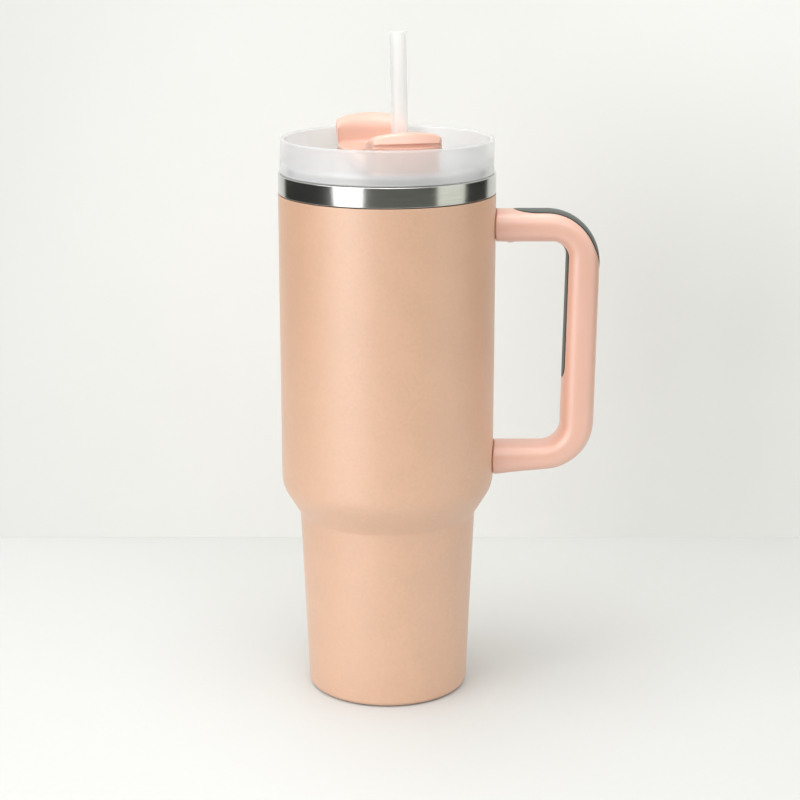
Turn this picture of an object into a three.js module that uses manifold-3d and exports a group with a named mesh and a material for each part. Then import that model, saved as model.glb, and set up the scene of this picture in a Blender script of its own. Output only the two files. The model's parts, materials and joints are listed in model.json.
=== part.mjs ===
// Insulated tumbler with a carrying handle, a screw-in lid, a turning lid cover and a straw.
// Millimetres, +Z up. The origin is on the tumbler's axis, in the plane that it stands on,
// and the handle reaches out towards +X.
import * as THREE from 'three';
import { mergeVertices } from 'three/addons/utils/BufferGeometryUtils.js';
import Module from 'manifold-3d';

const wasm = await Module();
wasm.setup();

// ---------- driving dimensions ----------
const GAP = 0.3;                 // clearance kept between neighbouring pieces
const ROUND = 40;                // sides of every large turned piece
const SMALL_ROUND = 20;          // sides of every small turned piece

const BARREL_R = 50.6;           // upper barrel, outside
const LOWER_TOP_R = 42;          // lower barrel just under the shoulder
const LOWER_FOOT_R = 38.5;       // lower barrel just above the foot
const FOOT_R = 37;               // edge of the foot on the table
const WALL = 0.8;                // steel sheet
const WAIST_Z = 87.6;            // corner between lower barrel and shoulder cone
const SHOULDER_Z = 101.7;        // corner between shoulder cone and upper barrel
const SHOULDER_FILLET = 16;
const PAINT_TOP_Z = 241.4;       // the painted wall stops here and the rolled steel lip starts
const RIM_Z = 250.9;             // top of the steel lip

const LINER_FLOOR_Z = 10;        // inside floor of the cup
const LINER_FOOT_R = 35;
const LINER_WAIST_R = 37.3;
const LINER_BARREL_R = 46.4;
const NECK_R = 47.4;             // inside of the neck that takes the lid's skirt
const NECK_LEDGE_Z = 236;

const BASE_T = 1.2;              // steel base plate
const BASE_DISC_R = 24;
const BASE_DISC_T = 0.8;
const SEAL_R = 3;                // plug of the evacuation hole

const LID_R = 49.7;              // frosted grip ring, outside
const LID_BORE_R = 47.2;
const LID_TOP_Z = 267.1;
const DECK_TOP_Z = 253.6;
const DECK_T = 2.2;
const SKIRT_R = 45.9;
const SKIRT_T = 2.3;
const SKIRT_END_Z = 238;
const RIB_R = 46.5;              // crest of the lid's thread ribs
const GASKET_R = 47.1;           // crests of the gasket's two lips
const BEAD_R = 46.9;             // crest of the neck's rolled thread beads
const THREAD_PITCH = 3.4;

const COVER_TURN = 13.3 * Math.PI / 180; // how far the cover bar stands off the Y axis
const COVER_HALF_W = 16.9;
const COVER_R = 45;
const COVER_LOW_Z = 255.2;
const COVER_TOP_Z = 260.4;
const TAB = { inner: 34, ridge: 41.4, outer: 44.5, innerTopZ: 269.6, ridgeZ: 274.9, lipZ: 268.6, archRise: 4.4 };

const STRAW_R = 3.9;
const STRAW_BORE_R = 3.2;
const STRAW_FOOT_Z = 14;
const STRAW_TIP_Z = 315.4;
const STRAW_AT_DECK = { x: 6.3, y: -7 };
const STRAW_LEAN = 1.25 * Math.PI / 180;  // towards -X going up

const SLOT_HALF_W = 5.5;                  // arc slot that lets the cover turn round the straw
const SLOT_SWEEP = 182 * Math.PI / 180;
const SIP = { r: 34, halfAlong: 8, halfAcross: 4.5 };
const PIN_R = 2;

const HANDLE = {
  topZ: 233.7, armT: 15.1, reachTop: 100, reachLow: 98.4, gripT: 15.8,
  lowZAtBody: 105.6, lowZAtReach: 110.5, gapLowZ: 121.7,
  outerRoundTop: 25, outerRoundLow: 24, innerRoundTop: 6.5, innerRoundLow: 9.5,
  depth: 20, edge: 5,
};
const SADDLE_R = BARREL_R + GAP;
const GRIP_DEPTH = 2.6;
const FINGER_DEPTH = 1.8;
const SCREW_X = 57.5;

// ---------- helpers ----------

/** Corners [x, y, radius] as a polyline, each corner rounded by an arc of its radius. */
function rounded(corners, maxStep = Math.PI / 9, closed = false) {
  const points = [];
  const count = corners.length;
  corners.forEach(([x, y, radius = 0], i) => {
    const isEnd = !closed && (i === 0 || i === count - 1);
    const here = new THREE.Vector2(x, y);
    if (!radius || isEnd) {
      points.push(here);
      return;
    }
    const before = new THREE.Vector2(...corners[(i + count - 1) % count].slice(0, 2)).sub(here).normalize();
    const after = new THREE.Vector2(...corners[(i + 1) % count].slice(0, 2)).sub(here).normalize();
    const half = Math.acos(THREE.MathUtils.clamp(before.dot(after), -1, 1)) / 2;
    const centre = before.clone().add(after).normalize().multiplyScalar(radius / Math.sin(half)).add(here);
    const from = before.clone().multiplyScalar(radius / Math.tan(half)).add(here).sub(centre);
    const sweep = Math.PI - 2 * half;
    const sign = Math.sign(before.x * after.y - before.y * after.x) || 1;
    const steps = Math.max(2, Math.ceil(sweep / maxStep));
    for (let k = 0; k <= steps; k += 1) {
      const turned = from.clone().rotateAround(new THREE.Vector2(), -sign * sweep * k / steps);
      points.push(turned.add(centre));
    }
  });
  return points;
}

/** Solid of revolution about +Z from a closed [radius, z] loop, or one that ends on the axis. */
function turned(points, sides = ROUND) {
  const onAxis = points[0].x < 1e-9 && points[points.length - 1].x < 1e-9;
  const loop = onAxis ? points : [...points, points[0].clone()];
  return new THREE.LatheGeometry(loop, sides).rotateX(Math.PI / 2);
}

/** Turned piece from plain [radius, z, round] corners, listed up the outside, then down the inside. */
function turnedFrom(corners, sides = ROUND, maxStep) {
  const onAxis = corners[0][0] === 0 && corners[corners.length - 1][0] === 0;
  return turned(rounded(corners, maxStep, !onAxis), sides);
}

function drum(radius, lowZ, topZ, x = 0, y = 0, sides = SMALL_ROUND) {
  return turned([[0, lowZ], [radius, lowZ], [radius, topZ], [0, topZ]]
    .map(([r, z]) => new THREE.Vector2(r, z)), sides).translate(x, y, 0);
}

function block(lowX, highX, lowY, highY, lowZ, highZ) {
  return new THREE.BoxGeometry(highX - lowX, highY - lowY, highZ - lowZ)
    .translate((lowX + highX) / 2, (lowY + highY) / 2, (lowZ + highZ) / 2);
}

/** Flat outline in X and Y, thickened from lowZ to topZ. */
function plate(outline, lowZ, topZ) {
  const geometry = new THREE.ExtrudeGeometry(new THREE.Shape(outline), {
    depth: topZ - lowZ, bevelEnabled: false,
  });
  return geometry.translate(0, 0, lowZ);
}

/** Outline in X and Z, thickened across Y about the plane y = 0, its edges rounded by `edge`. */
function upright(outline, depth, edge = 0) {
  const geometry = new THREE.ExtrudeGeometry(new THREE.Shape(outline), {
    depth: depth - 2 * edge, bevelEnabled: edge > 0, bevelSize: edge, bevelThickness: edge,
    bevelOffset: -edge, bevelSegments: 3,
  });
  return geometry.translate(0, 0, edge - depth / 2).rotateX(Math.PI / 2);
}

function solid(geometry) {
  if (geometry instanceof wasm.Manifold) return geometry;
  const bare = geometry.index ? geometry.toNonIndexed() : geometry.clone();
  bare.deleteAttribute('normal');
  bare.deleteAttribute('uv');
  const merged = mergeVertices(bare, 1e-4);
  const index = merged.index.array;
  const kept = [];
  for (let i = 0; i < index.length; i += 3) {
    const [a, b, c] = [index[i], index[i + 1], index[i + 2]];
    if (a !== b && b !== c && a !== c) kept.push(a, b, c);
  }
  return new wasm.Manifold(new wasm.Mesh({
    numProp: 3,
    vertProperties: new Float32Array(merged.attributes.position.array),
    triVerts: new Uint32Array(kept),
  }));
}

const joined = (...pieces) => pieces.map(solid).reduce((whole, piece) => whole.add(piece));
const cut = (whole, ...tools) => tools.map(solid).reduce((rest, tool) => rest.subtract(tool), solid(whole));
const common = (a, b) => solid(a).intersect(solid(b));

function toGeometry(shape) {
  const { vertProperties, triVerts, numProp } = solid(shape).getMesh();
  const geometry = new THREE.BufferGeometry();
  const position = new Float32Array(vertProperties.length / numProp * 3);
  for (let i = 0; i < position.length / 3; i += 1) {
    for (let k = 0; k < 3; k += 1) position[3 * i + k] = vertProperties[numProp * i + k];
  }
  geometry.setAttribute('position', new THREE.BufferAttribute(position, 3));
  geometry.setIndex(new THREE.BufferAttribute(new Uint32Array(triVerts), 1));
  return geometry;
}

const FINISH = {
  powderCoat: { color: 0xcfb09c, roughness: 0.62, metalness: 0.05 },
  steel: { color: 0xb9b8b4, roughness: 0.32, metalness: 1 },
  frosted: { color: 0xe4e3df, roughness: 0.55, metalness: 0, transparent: true, opacity: 0.8 },
  peach: { color: 0xd7a791, roughness: 0.5, metalness: 0 },
  grip: { color: 0x84857c, roughness: 0.75, metalness: 0 },
  silicone: { color: 0xd9d7d0, roughness: 0.65, metalness: 0 },
  fastener: { color: 0x8f8f8c, roughness: 0.4, metalness: 1 },
  getter: { color: 0x55534f, roughness: 0.8, metalness: 0.6 },
};

const tumbler = new THREE.Group();

function piece(name, shape, finish, parent = tumbler) {
  const mesh = new THREE.Mesh(toGeometry(shape), new THREE.MeshStandardMaterial(FINISH[finish]));
  mesh.name = name;
  parent.add(mesh);
  return mesh;
}

// ---------- vessel ----------

function outerShell() {
  const coneIn = WALL * 0.9;
  return turnedFrom([
    [FOOT_R - 0.9, 0.4, 0], [FOOT_R + 1, 0.4, 2.2], [LOWER_FOOT_R, 10, 0],
    [LOWER_TOP_R, WAIST_Z, 3], [BARREL_R, SHOULDER_Z, SHOULDER_FILLET], [BARREL_R, PAINT_TOP_Z, 0],
    [BARREL_R - WALL, PAINT_TOP_Z, 0],
    [BARREL_R - WALL, SHOULDER_Z + coneIn, SHOULDER_FILLET], [LOWER_TOP_R - WALL, WAIST_Z + coneIn, 3],
    [LOWER_FOOT_R - WALL, 10, 0], [FOOT_R - 0.9, 2.4, 0],
  ]);
}

/** Steel cup. Its lip is rolled outwards over the outer wall and shows as the bare steel band. */
function innerLiner() {
  const bead = (z) => [[NECK_R, z + 1], [BEAD_R, z + 0.4], [BEAD_R, z - 0.4], [NECK_R, z - 1]];
  const beads = [1, 0].flatMap((k) => bead(SKIRT_END_Z + 1.4 + k * THREAD_PITCH));
  const lipZ = PAINT_TOP_Z + GAP;
  return turnedFrom([
    [0, LINER_FLOOR_Z - WALL, 0], [LINER_FOOT_R + WALL, LINER_FLOOR_Z - WALL, 6],
    [LINER_WAIST_R + WALL, WAIST_Z + 3, 4], [LINER_BARREL_R + WALL, SHOULDER_Z + 3, 14],
    [LINER_BARREL_R + WALL, NECK_LEDGE_Z, 0], [NECK_R + WALL, NECK_LEDGE_Z + 1, 0],
    [NECK_R + WALL, RIM_Z - WALL, 0], [BARREL_R - WALL, RIM_Z - WALL, 0], [BARREL_R - WALL, lipZ, 0],
    [BARREL_R, lipZ, 0], [BARREL_R, RIM_Z, 1], [NECK_R, RIM_Z, 0.7],
    ...beads,
    [NECK_R, NECK_LEDGE_Z + 1, 0], [LINER_BARREL_R, NECK_LEDGE_Z, 0],
    [LINER_BARREL_R, SHOULDER_Z + 3.6, 14], [LINER_WAIST_R, WAIST_Z + 3.6, 4],
    [LINER_FOOT_R, LINER_FLOOR_Z, 5.2], [0, LINER_FLOOR_Z, 0],
  ], ROUND, Math.PI / 3);
}

/** Base plate pressed into the foot, with a dish for the cover disc and the evacuation hole. */
function outerBase() {
  const plateR = FOOT_R - 0.9 - GAP;
  const body = turnedFrom([
    [0, BASE_DISC_T + GAP, 0], [BASE_DISC_R + GAP, BASE_DISC_T + GAP, 0], [BASE_DISC_R + GAP, 0, 0],
    [plateR, 0, 1], [plateR, BASE_T + 2.6, 0], [plateR - BASE_T, BASE_T + 2.6, 0],
    [plateR - BASE_T, BASE_T + BASE_DISC_T + GAP, 0], [0, BASE_T + BASE_DISC_T + GAP, 0],
  ], ROUND);
  return cut(body, drum(SEAL_R + GAP, 0.5, 5));
}

const baseDisc = () => drum(BASE_DISC_R, 0, BASE_DISC_T, 0, 0, ROUND);
const vacuumSeal = () => drum(SEAL_R, BASE_DISC_T + GAP, BASE_T + BASE_DISC_T + 1.4);
const getter = () => drum(6, LINER_FLOOR_Z - WALL - GAP - 2.2, LINER_FLOOR_Z - WALL - GAP, 16, 0);

// ---------- handle ----------

/** Outer edge of the handle, from the barrel round the grip and back to the barrel. */
function handleOuterEdge() {
  return [
    [44, HANDLE.topZ, 0], [HANDLE.reachTop, HANDLE.topZ, HANDLE.outerRoundTop],
    [HANDLE.reachLow, HANDLE.lowZAtReach, HANDLE.outerRoundLow], [44, HANDLE.lowZAtBody - 0.5, 0],
  ];
}

function handleInnerEdge() {
  const under = HANDLE.topZ - HANDLE.armT;
  return [
    [44, HANDLE.gapLowZ, 0], [HANDLE.reachLow - HANDLE.gripT, HANDLE.gapLowZ, HANDLE.innerRoundLow],
    [HANDLE.reachTop - HANDLE.gripT, under, HANDLE.innerRoundTop], [44, under, 0],
  ];
}

/** Strip along a stretch of an edge: `over` proud of it and up to `depth` into the handle. */
function edgeStrip(edge, fromLength, toLength, depth, over, taper) {
  const path = new THREE.Path(rounded(edge, Math.PI / 12));
  const total = path.getLength();
  const steps = 22;
  const outside = [];
  const inside = [];
  for (let k = 0; k <= steps; k += 1) {
    const along = fromLength + (toLength - fromLength) * k / steps;
    const at = path.getPointAt(along / total);
    const tangent = path.getTangentAt(along / total);
    const inward = new THREE.Vector2(tangent.y, -tangent.x);
    const nearEnd = Math.min(along - fromLength, toLength - along) / taper;
    const deep = depth * Math.sqrt(THREE.MathUtils.clamp(nearEnd, 0.06, 1));
    outside.push(at.clone().addScaledVector(inward, -over));
    inside.push(at.clone().addScaledVector(inward, deep));
  }
  return [...outside, ...inside.reverse()];
}

function thumbStrip(extra) {
  return upright(edgeStrip(handleOuterEdge(), 15.5 - extra, 72 + extra, GRIP_DEPTH + extra, 3, 6), 30);
}

function fingerStrip(extra) {
  return upright(edgeStrip(handleInnerEdge(), 65.5 - extra, 125.5 + extra, FINGER_DEPTH + extra, 3, 6), 30);
}

const wholeHandle = () => cut(
  upright([...rounded(handleOuterEdge(), Math.PI / 12), ...rounded(handleInnerEdge(), Math.PI / 10)],
    HANDLE.depth, HANDLE.edge),
  drum(SADDLE_R, 90, 245, 0, 0, ROUND),
);

/** Places of the two screwed joints: the height of the arm's underside and of its middle. */
const armJoints = {
  upper: { underZ: HANDLE.topZ - HANDLE.armT, middleZ: HANDLE.topZ - HANDLE.armT / 2 },
  lower: { underZ: 106.5, middleZ: 114 },
};
const TONGUE = { endX: 62, halfW: 6, halfT: 3.2, clear: 0.4 };
const SCREW = { headR: 3, headT: 1.8, shankR: 1.7, holeR: 2.05, sunk: 3.2 };

function armSockets({ underZ, middleZ }) {
  const { endX, halfW, halfT, clear } = TONGUE;
  return [
    block(40, endX + clear, -halfW - clear, halfW + clear, middleZ - halfT - clear, middleZ + halfT + clear),
    drum(SCREW.headR + GAP, underZ - 2, underZ + SCREW.sunk + GAP, SCREW_X),
    drum(SCREW.holeR, underZ, middleZ + halfT + 2.4, SCREW_X),
  ];
}

function handleBody() {
  return cut(wholeHandle(), thumbStrip(GAP), fingerStrip(GAP),
    ...Object.values(armJoints).flatMap(armSockets));
}

/** Steel tongue welded to the barrel; the arm slides over it. */
function bracket({ middleZ }) {
  const { endX, halfW, halfT } = TONGUE;
  return cut(block(46, endX, -halfW, halfW, middleZ - halfT, middleZ + halfT),
    drum(SADDLE_R, 90, 245, 0, 0, ROUND),
    drum(SCREW.holeR, middleZ - 9, middleZ + 9, SCREW_X));
}

function screw({ underZ, middleZ }) {
  const headTop = underZ + SCREW.sunk;
  return joined(drum(SCREW.headR, headTop - SCREW.headT, headTop, SCREW_X),
    drum(SCREW.shankR, headTop - 0.5, middleZ + TONGUE.halfT + 2, SCREW_X));
}

const screwPlug = ({ underZ }) => drum(SCREW.headR, underZ - 0.6, underZ + SCREW.sunk - SCREW.headT - GAP, SCREW_X);

// ---------- lid ----------

/** Rounded slot outline along the X axis, then turned and moved into place. */
function slotOutline(halfAlong, halfAcross, angle, x, y) {
  const points = rounded([
    [-halfAlong, -halfAcross, halfAcross * 0.98], [halfAlong, -halfAcross, halfAcross * 0.98],
    [halfAlong, halfAcross, halfAcross * 0.98], [-halfAlong, halfAcross, halfAcross * 0.98],
  ], Math.PI / 8, true);
  return points.map((p) => p.rotateAround(new THREE.Vector2(), angle).add(new THREE.Vector2(x, y)));
}

const sipAngle = COVER_TURN - Math.PI / 2;
const sipAt = { x: SIP.r * Math.cos(sipAngle), y: SIP.r * Math.sin(sipAngle) };
const sipOutline = slotOutline(SIP.halfAlong, SIP.halfAcross, COVER_TURN, sipAt.x, sipAt.y);
const VENT_AT = { x: -19, y: 8, r: 2.6 };

/** One moulding: the frosted grip ring, the deck inside it and the threaded skirt below. */
function lidBody() {
  const rib = (z) => [[SKIRT_R, z - 0.9], [RIB_R, z - 0.4], [RIB_R, z + 0.4], [SKIRT_R, z + 0.9]];
  const ribs = [0, 1].flatMap((k) => rib(SKIRT_END_Z + 1.4 + THREAD_PITCH * (k + 0.5)));
  const flangeZ = RIM_Z + GAP;
  const body = turnedFrom([
    [0, DECK_TOP_Z - DECK_T, 0], [SKIRT_R - SKIRT_T, DECK_TOP_Z - DECK_T, 0],
    [SKIRT_R - SKIRT_T, SKIRT_END_Z, 0], [SKIRT_R, SKIRT_END_Z, 0],
    ...ribs,
    [SKIRT_R, flangeZ, 0], [LID_R, flangeZ, 0.7], [LID_R, LID_TOP_Z, 1.1],
    [LID_BORE_R, LID_TOP_Z, 1.1], [LID_BORE_R, DECK_TOP_Z, 0], [0, DECK_TOP_Z, 0],
  ], ROUND, Math.PI / 4);
  return cut(body,
    plate(sipOutline, 245, 258),
    drum(GROMMET.waistR + GAP, 245, 258, STRAW_AT_DECK.x, STRAW_AT_DECK.y),
    drum(PIN_R + GAP, 245, 258),
    drum(VENT_AT.r + GAP, 245, 258, VENT_AT.x, VENT_AT.y));
}

/** Gasket round the skirt, just under the lid's flange. */
const lidGasket = () => turnedFrom([
  [SKIRT_R + GAP, 246.4, 0], [GASKET_R, 247, 0], [GASKET_R - 0.3, 247.8, 0], [GASKET_R, 248.6, 0],
  [SKIRT_R + GAP, 249.2, 0],
]);

const GROMMET = { boreR: 4.5, waistR: 6, flangeR: 7.4, flangeT: 1 };

/** Soft grommet that grips the deck and lets the straw slide. */
function strawGrommet() {
  const { boreR, waistR, flangeR, flangeT } = GROMMET;
  const under = DECK_TOP_Z - DECK_T - GAP;
  return turnedFrom([
    [boreR, under - flangeT, 0], [flangeR, under - flangeT, 0], [flangeR, under, 0], [waistR, under, 0],
    [waistR, DECK_TOP_Z, 0], [boreR, DECK_TOP_Z, 0],
  ], SMALL_ROUND).translate(STRAW_AT_DECK.x, STRAW_AT_DECK.y, 0);
}

function ventValve() {
  const under = DECK_TOP_Z - DECK_T - GAP;
  return joined(drum(VENT_AT.r, under - 0.8, DECK_TOP_Z + 0.8, VENT_AT.x, VENT_AT.y),
    drum(VENT_AT.r + 1.4, under - 1, under, VENT_AT.x, VENT_AT.y));
}

/** Arc slot about the lid's axis, wide enough for the straw, in the cover's own frame. */
function strawSlot() {
  const radius = Math.hypot(STRAW_AT_DECK.x, STRAW_AT_DECK.y);
  const start = Math.atan2(STRAW_AT_DECK.y, STRAW_AT_DECK.x) - COVER_TURN;
  const steps = 20;
  const ring = (r, k) => new THREE.Vector2(
    r * Math.cos(start - SLOT_SWEEP * k / steps), r * Math.sin(start - SLOT_SWEEP * k / steps));
  const outline = [];
  for (let k = 0; k <= steps; k += 1) outline.push(ring(radius + SLOT_HALF_W, k));
  for (let k = steps; k >= 0; k -= 1) outline.push(ring(radius - SLOT_HALF_W, k));
  const ends = [ring(radius, 0), ring(radius, steps)];
  return joined(plate(outline.reverse(), 250, 265),
    ...ends.map((end) => drum(SLOT_HALF_W, 250, 265, end.x, end.y)));
}

/** End tab along +Y: its top rises outwards to a ridge, and is arched across its width. */
function endTab() {
  const { inner, ridge, outer, innerTopZ, ridgeZ, lipZ, archRise } = TAB;
  const side = upright(rounded([
    [inner, COVER_LOW_Z + 2, 0], [outer + 0.4, COVER_LOW_Z + 2, 0], [outer + 0.4, lipZ - 1, 0],
    [outer - 0.6, lipZ - 0.7, 0], [outer, lipZ, 0], [ridge, ridgeZ, 1.6], [inner, innerTopZ, 2.4],
  ], Math.PI / 8, true), 2 * COVER_HALF_W).rotateZ(Math.PI / 2);
  const arch = new THREE.Shape();
  arch.moveTo(-COVER_HALF_W - 0.4, COVER_LOW_Z);
  arch.lineTo(COVER_HALF_W + 0.4, COVER_LOW_Z);
  arch.absellipse(0, ridgeZ - archRise, COVER_HALF_W + 0.4, archRise, 0, Math.PI, false, 0);
  return common(side, upright(arch.getPoints(8), 120));
}

/** The turning cover, drawn along the Y axis: a bar with the same tab at each end. */
function rotatingCover() {
  const bar = common(drum(COVER_R, COVER_LOW_Z, COVER_TOP_Z, 0, 0, ROUND),
    block(-COVER_HALF_W, COVER_HALF_W, -50, 50, 250, 270));
  const tabs = [0, Math.PI].map((turn) => common(endTab().rotate([0, 0, THREE.MathUtils.radToDeg(turn)]),
    drum(COVER_R, 250, 280, 0, 0, ROUND)));
  const whole = joined(bar, ...tabs);
  const pad = padOutline(GAP);
  return cut(whole, strawSlot(), drum(PIN_R + GAP, 250, 265), plate(pad, 250, PAD_TOP_Z + GAP));
}

const PAD_TOP_Z = 256.6;
const padOutline = (extra) => slotOutline(SIP.halfAlong + 2 + extra, SIP.halfAcross + 2 + extra, 0, 0, -SIP.r);

/** Soft pad under the front tab that closes the drinking hole. */
const sipSealPad = () => plate(padOutline(0), DECK_TOP_Z + GAP, PAD_TOP_Z);

/** Pin that the cover turns on, with its head above and a groove for the clip below. */
function coverPivotPin() {
  const foot = DECK_TOP_Z - DECK_T - 3.4;
  return turnedFrom([
    [0, foot, 0], [PIN_R, foot, 0], [PIN_R, foot + 1, 0], [PIN_R - 0.6, foot + 1, 0],
    [PIN_R - 0.6, foot + 2.4, 0], [PIN_R, foot + 2.4, 0], [PIN_R, COVER_TOP_Z + GAP, 0],
    [3.6, COVER_TOP_Z + GAP, 0], [3.6, COVER_TOP_Z + 1.4, 0.5], [0, COVER_TOP_Z + 1.4, 0],
  ], SMALL_ROUND);
}

function pivotClip() {
  const foot = DECK_TOP_Z - DECK_T - 3.4;
  return turnedFrom([
    [PIN_R - 0.6 + GAP, foot + 1.3, 0], [4.4, foot + 1.3, 0], [4.4, foot + 2.1, 0],
    [PIN_R - 0.6 + GAP, foot + 2.1, 0],
  ], SMALL_ROUND);
}

// ---------- straw ----------

/** Straw tube along its own +Z, its z = 0 at the level of the deck. */
function straw() {
  const low = STRAW_FOOT_Z - DECK_TOP_Z;
  const high = STRAW_TIP_Z - DECK_TOP_Z;
  return turnedFrom([
    [STRAW_R, low, 0], [STRAW_R, high, 0.3], [STRAW_BORE_R, high, 0.3], [STRAW_BORE_R, low, 0],
  ], 16, Math.PI / 2);
}

/** Ring near the straw's foot that stops it at the grommet. */
function strawStopper() {
  const low = STRAW_FOOT_Z - DECK_TOP_Z + 7;
  return turnedFrom([
    [STRAW_R + GAP, low, 0], [STRAW_R + 1.8, low + 1, 0], [STRAW_R + 1.8, low + 4, 0], [STRAW_R + GAP, low + 5, 0],
  ], SMALL_ROUND);
}

// ---------- assembly ----------

piece('outer_shell', outerShell(), 'powderCoat');
piece('inner_liner', innerLiner(), 'steel');
piece('outer_base', outerBase(), 'steel');
piece('base_disc', baseDisc(), 'steel');
piece('vacuum_seal', vacuumSeal(), 'getter');
piece('getter', getter(), 'getter');

piece('handle_body', handleBody(), 'peach');
piece('thumb_grip', common(wholeHandle(), thumbStrip(0)), 'grip');
piece('finger_grip', common(wholeHandle(), fingerStrip(0)), 'grip');
for (const [end, joint] of Object.entries(armJoints)) {
  piece(`${end}_bracket`, bracket(joint), 'steel');
  piece(`${end}_screw`, screw(joint), 'fastener');
  piece(`${end}_screw_plug`, screwPlug(joint), 'peach');
}

piece('lid_body', lidBody(), 'frosted');
piece('lid_gasket', lidGasket(), 'silicone');
piece('straw_grommet', strawGrommet(), 'silicone');
piece('vent_valve', ventValve(), 'silicone');

const cover = new THREE.Group();
cover.rotation.z = COVER_TURN;
piece('rotating_cover', rotatingCover(), 'peach', cover);
piece('sip_seal_pad', sipSealPad(), 'silicone', cover);
piece('cover_pivot_pin', coverPivotPin(), 'fastener', cover);
piece('pivot_clip', pivotClip(), 'fastener', cover);
tumbler.add(cover);

const strawLine = new THREE.Group();
strawLine.position.set(STRAW_AT_DECK.x, STRAW_AT_DECK.y, DECK_TOP_Z);
strawLine.rotation.y = -STRAW_LEAN;
piece('straw', straw(), 'frosted', strawLine);
piece('straw_stopper', strawStopper(), 'silicone', strawLine);
tumbler.add(strawLine);

export default tumbler;
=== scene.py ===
"""An insulated tumbler with a handle, a screw-in lid, a turning cover and a straw.

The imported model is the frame: it gives every place and every joint. The classes below make the
surfaces that show, one class for each sub-assembly, and one small class for each finish.
Shapes are worked out in millimetres and go into their meshes in metres.
"""

import json
import logging
import math
from dataclasses import dataclass, field
from enum import Enum
from typing import Sequence

import bpy
import numpy as np
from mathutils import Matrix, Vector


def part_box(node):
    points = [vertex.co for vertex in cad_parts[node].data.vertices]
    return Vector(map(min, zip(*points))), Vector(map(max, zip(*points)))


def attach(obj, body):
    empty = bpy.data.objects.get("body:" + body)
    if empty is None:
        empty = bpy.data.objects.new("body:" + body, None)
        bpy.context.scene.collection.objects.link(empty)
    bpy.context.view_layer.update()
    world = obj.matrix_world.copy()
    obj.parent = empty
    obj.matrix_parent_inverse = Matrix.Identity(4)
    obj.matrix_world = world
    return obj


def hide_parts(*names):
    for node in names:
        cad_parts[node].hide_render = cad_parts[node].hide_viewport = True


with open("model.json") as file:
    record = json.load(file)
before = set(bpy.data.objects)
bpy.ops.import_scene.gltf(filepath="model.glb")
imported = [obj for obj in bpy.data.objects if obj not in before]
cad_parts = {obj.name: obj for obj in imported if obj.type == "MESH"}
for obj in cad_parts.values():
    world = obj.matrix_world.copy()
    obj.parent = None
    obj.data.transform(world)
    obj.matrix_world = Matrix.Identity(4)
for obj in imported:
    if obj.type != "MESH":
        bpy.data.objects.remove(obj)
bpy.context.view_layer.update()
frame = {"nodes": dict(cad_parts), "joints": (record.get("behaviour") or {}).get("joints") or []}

MM = 0.001
Array = np.ndarray
Corner = tuple[float, float, float]
Colour = tuple[float, float, float]
log = logging.getLogger("tumbler")


class Body(Enum):
    """The bodies that pieces ride on."""

    VESSEL = "vessel"
    GASKET = "gasket"
    LID = "lid"
    COVER = "cover"
    STRAW = "straw"


# ---------------------------------------------------------------- places from the frame


def span(node: str) -> tuple[Array, Array]:
    """Lowest and highest corner of a frame node, in millimetres.

    Args:
        node: The node's name.

    Returns:
        Two arrays of three numbers.
    """
    low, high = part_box(node)
    return np.array(low) / MM, np.array(high) / MM


def joint(name: str) -> tuple[Array, Array]:
    """A joint's point, in millimetres, and its unit axis.

    Args:
        name: The joint's name.

    Returns:
        The point and the axis.
    """
    for entry in frame["joints"]:
        if entry["name"] == name:
            axis = np.array(entry["axis"], float)
            point = np.array(entry.get("pos_m") or (0, 0, 0), float) / MM
            return point, axis / np.linalg.norm(axis)
    raise KeyError(name)


# ---------------------------------------------------------------- outlines


def fillet(corners: Sequence[Corner], step: float = 7.0, closed: bool = False) -> Array:
    """Rounds the corners of an outline.

    Each corner is swapped for an arc of its own radius that touches both of its sides: the arc's
    centre lies on the corner's bisector, radius / sin(half angle) away.

    Args:
        corners: Corners as (x, y, radius).
        step: Largest turn between two points of an arc, in degrees.
        closed: True where the last corner joins the first.

    Returns:
        The outline's points, one row each.
    """
    points: list[Array] = []
    count = len(corners)
    for i, (x, y, radius) in enumerate(corners):
        here = np.array([x, y], float)
        if radius <= 0 or (not closed and i in (0, count - 1)):
            points.append(here[None])
            continue
        before = np.array(corners[(i - 1) % count][:2], float) - here
        after = np.array(corners[(i + 1) % count][:2], float) - here
        before, after = before / np.linalg.norm(before), after / np.linalg.norm(after)
        half = math.acos(float(np.clip(before @ after, -1, 1))) / 2
        middle = before + after
        centre = here + middle / np.linalg.norm(middle) * radius / math.sin(half)
        start = here + before * radius / math.tan(half) - centre
        sweep = (math.pi - 2 * half) * -np.sign(before[0] * after[1] - before[1] * after[0])
        turns = np.linspace(0, sweep, max(3, math.ceil(abs(math.degrees(sweep)) / step) + 1))
        cos, sin = np.cos(turns), np.sin(turns)
        arc = np.stack([start[0] * cos - start[1] * sin, start[0] * sin + start[1] * cos], 1)
        points.append(centre + arc)
    return np.concatenate(points)


def densify(outline: Array, longest: float, closed: bool = False) -> Array:
    """Splits the long stretches of an outline into equal shorter ones.

    Args:
        outline: The outline's points.
        longest: Longest stretch wanted.
        closed: True where the last point joins the first.

    Returns:
        The outline with its added points.
    """
    ends = np.roll(outline, -1, axis=0) if closed else outline[1:]
    starts = outline if closed else outline[:-1]
    pieces = []
    for a, b in zip(starts, ends):
        parts = max(1, math.ceil(float(np.linalg.norm(b - a)) / longest))
        pieces.append(a + (b - a) * np.arange(parts)[:, None] / parts)
    if not closed:
        pieces.append(outline[-1:])
    return np.concatenate(pieces)


def smoothstep(low: float, high: float, value: Array) -> Array:
    """0 below low, 1 above high, and the cubic 3t^2 - 2t^3 between them."""
    t = np.clip((value - low) / (high - low), 0, 1)
    return t * t * (3 - 2 * t)


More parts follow.
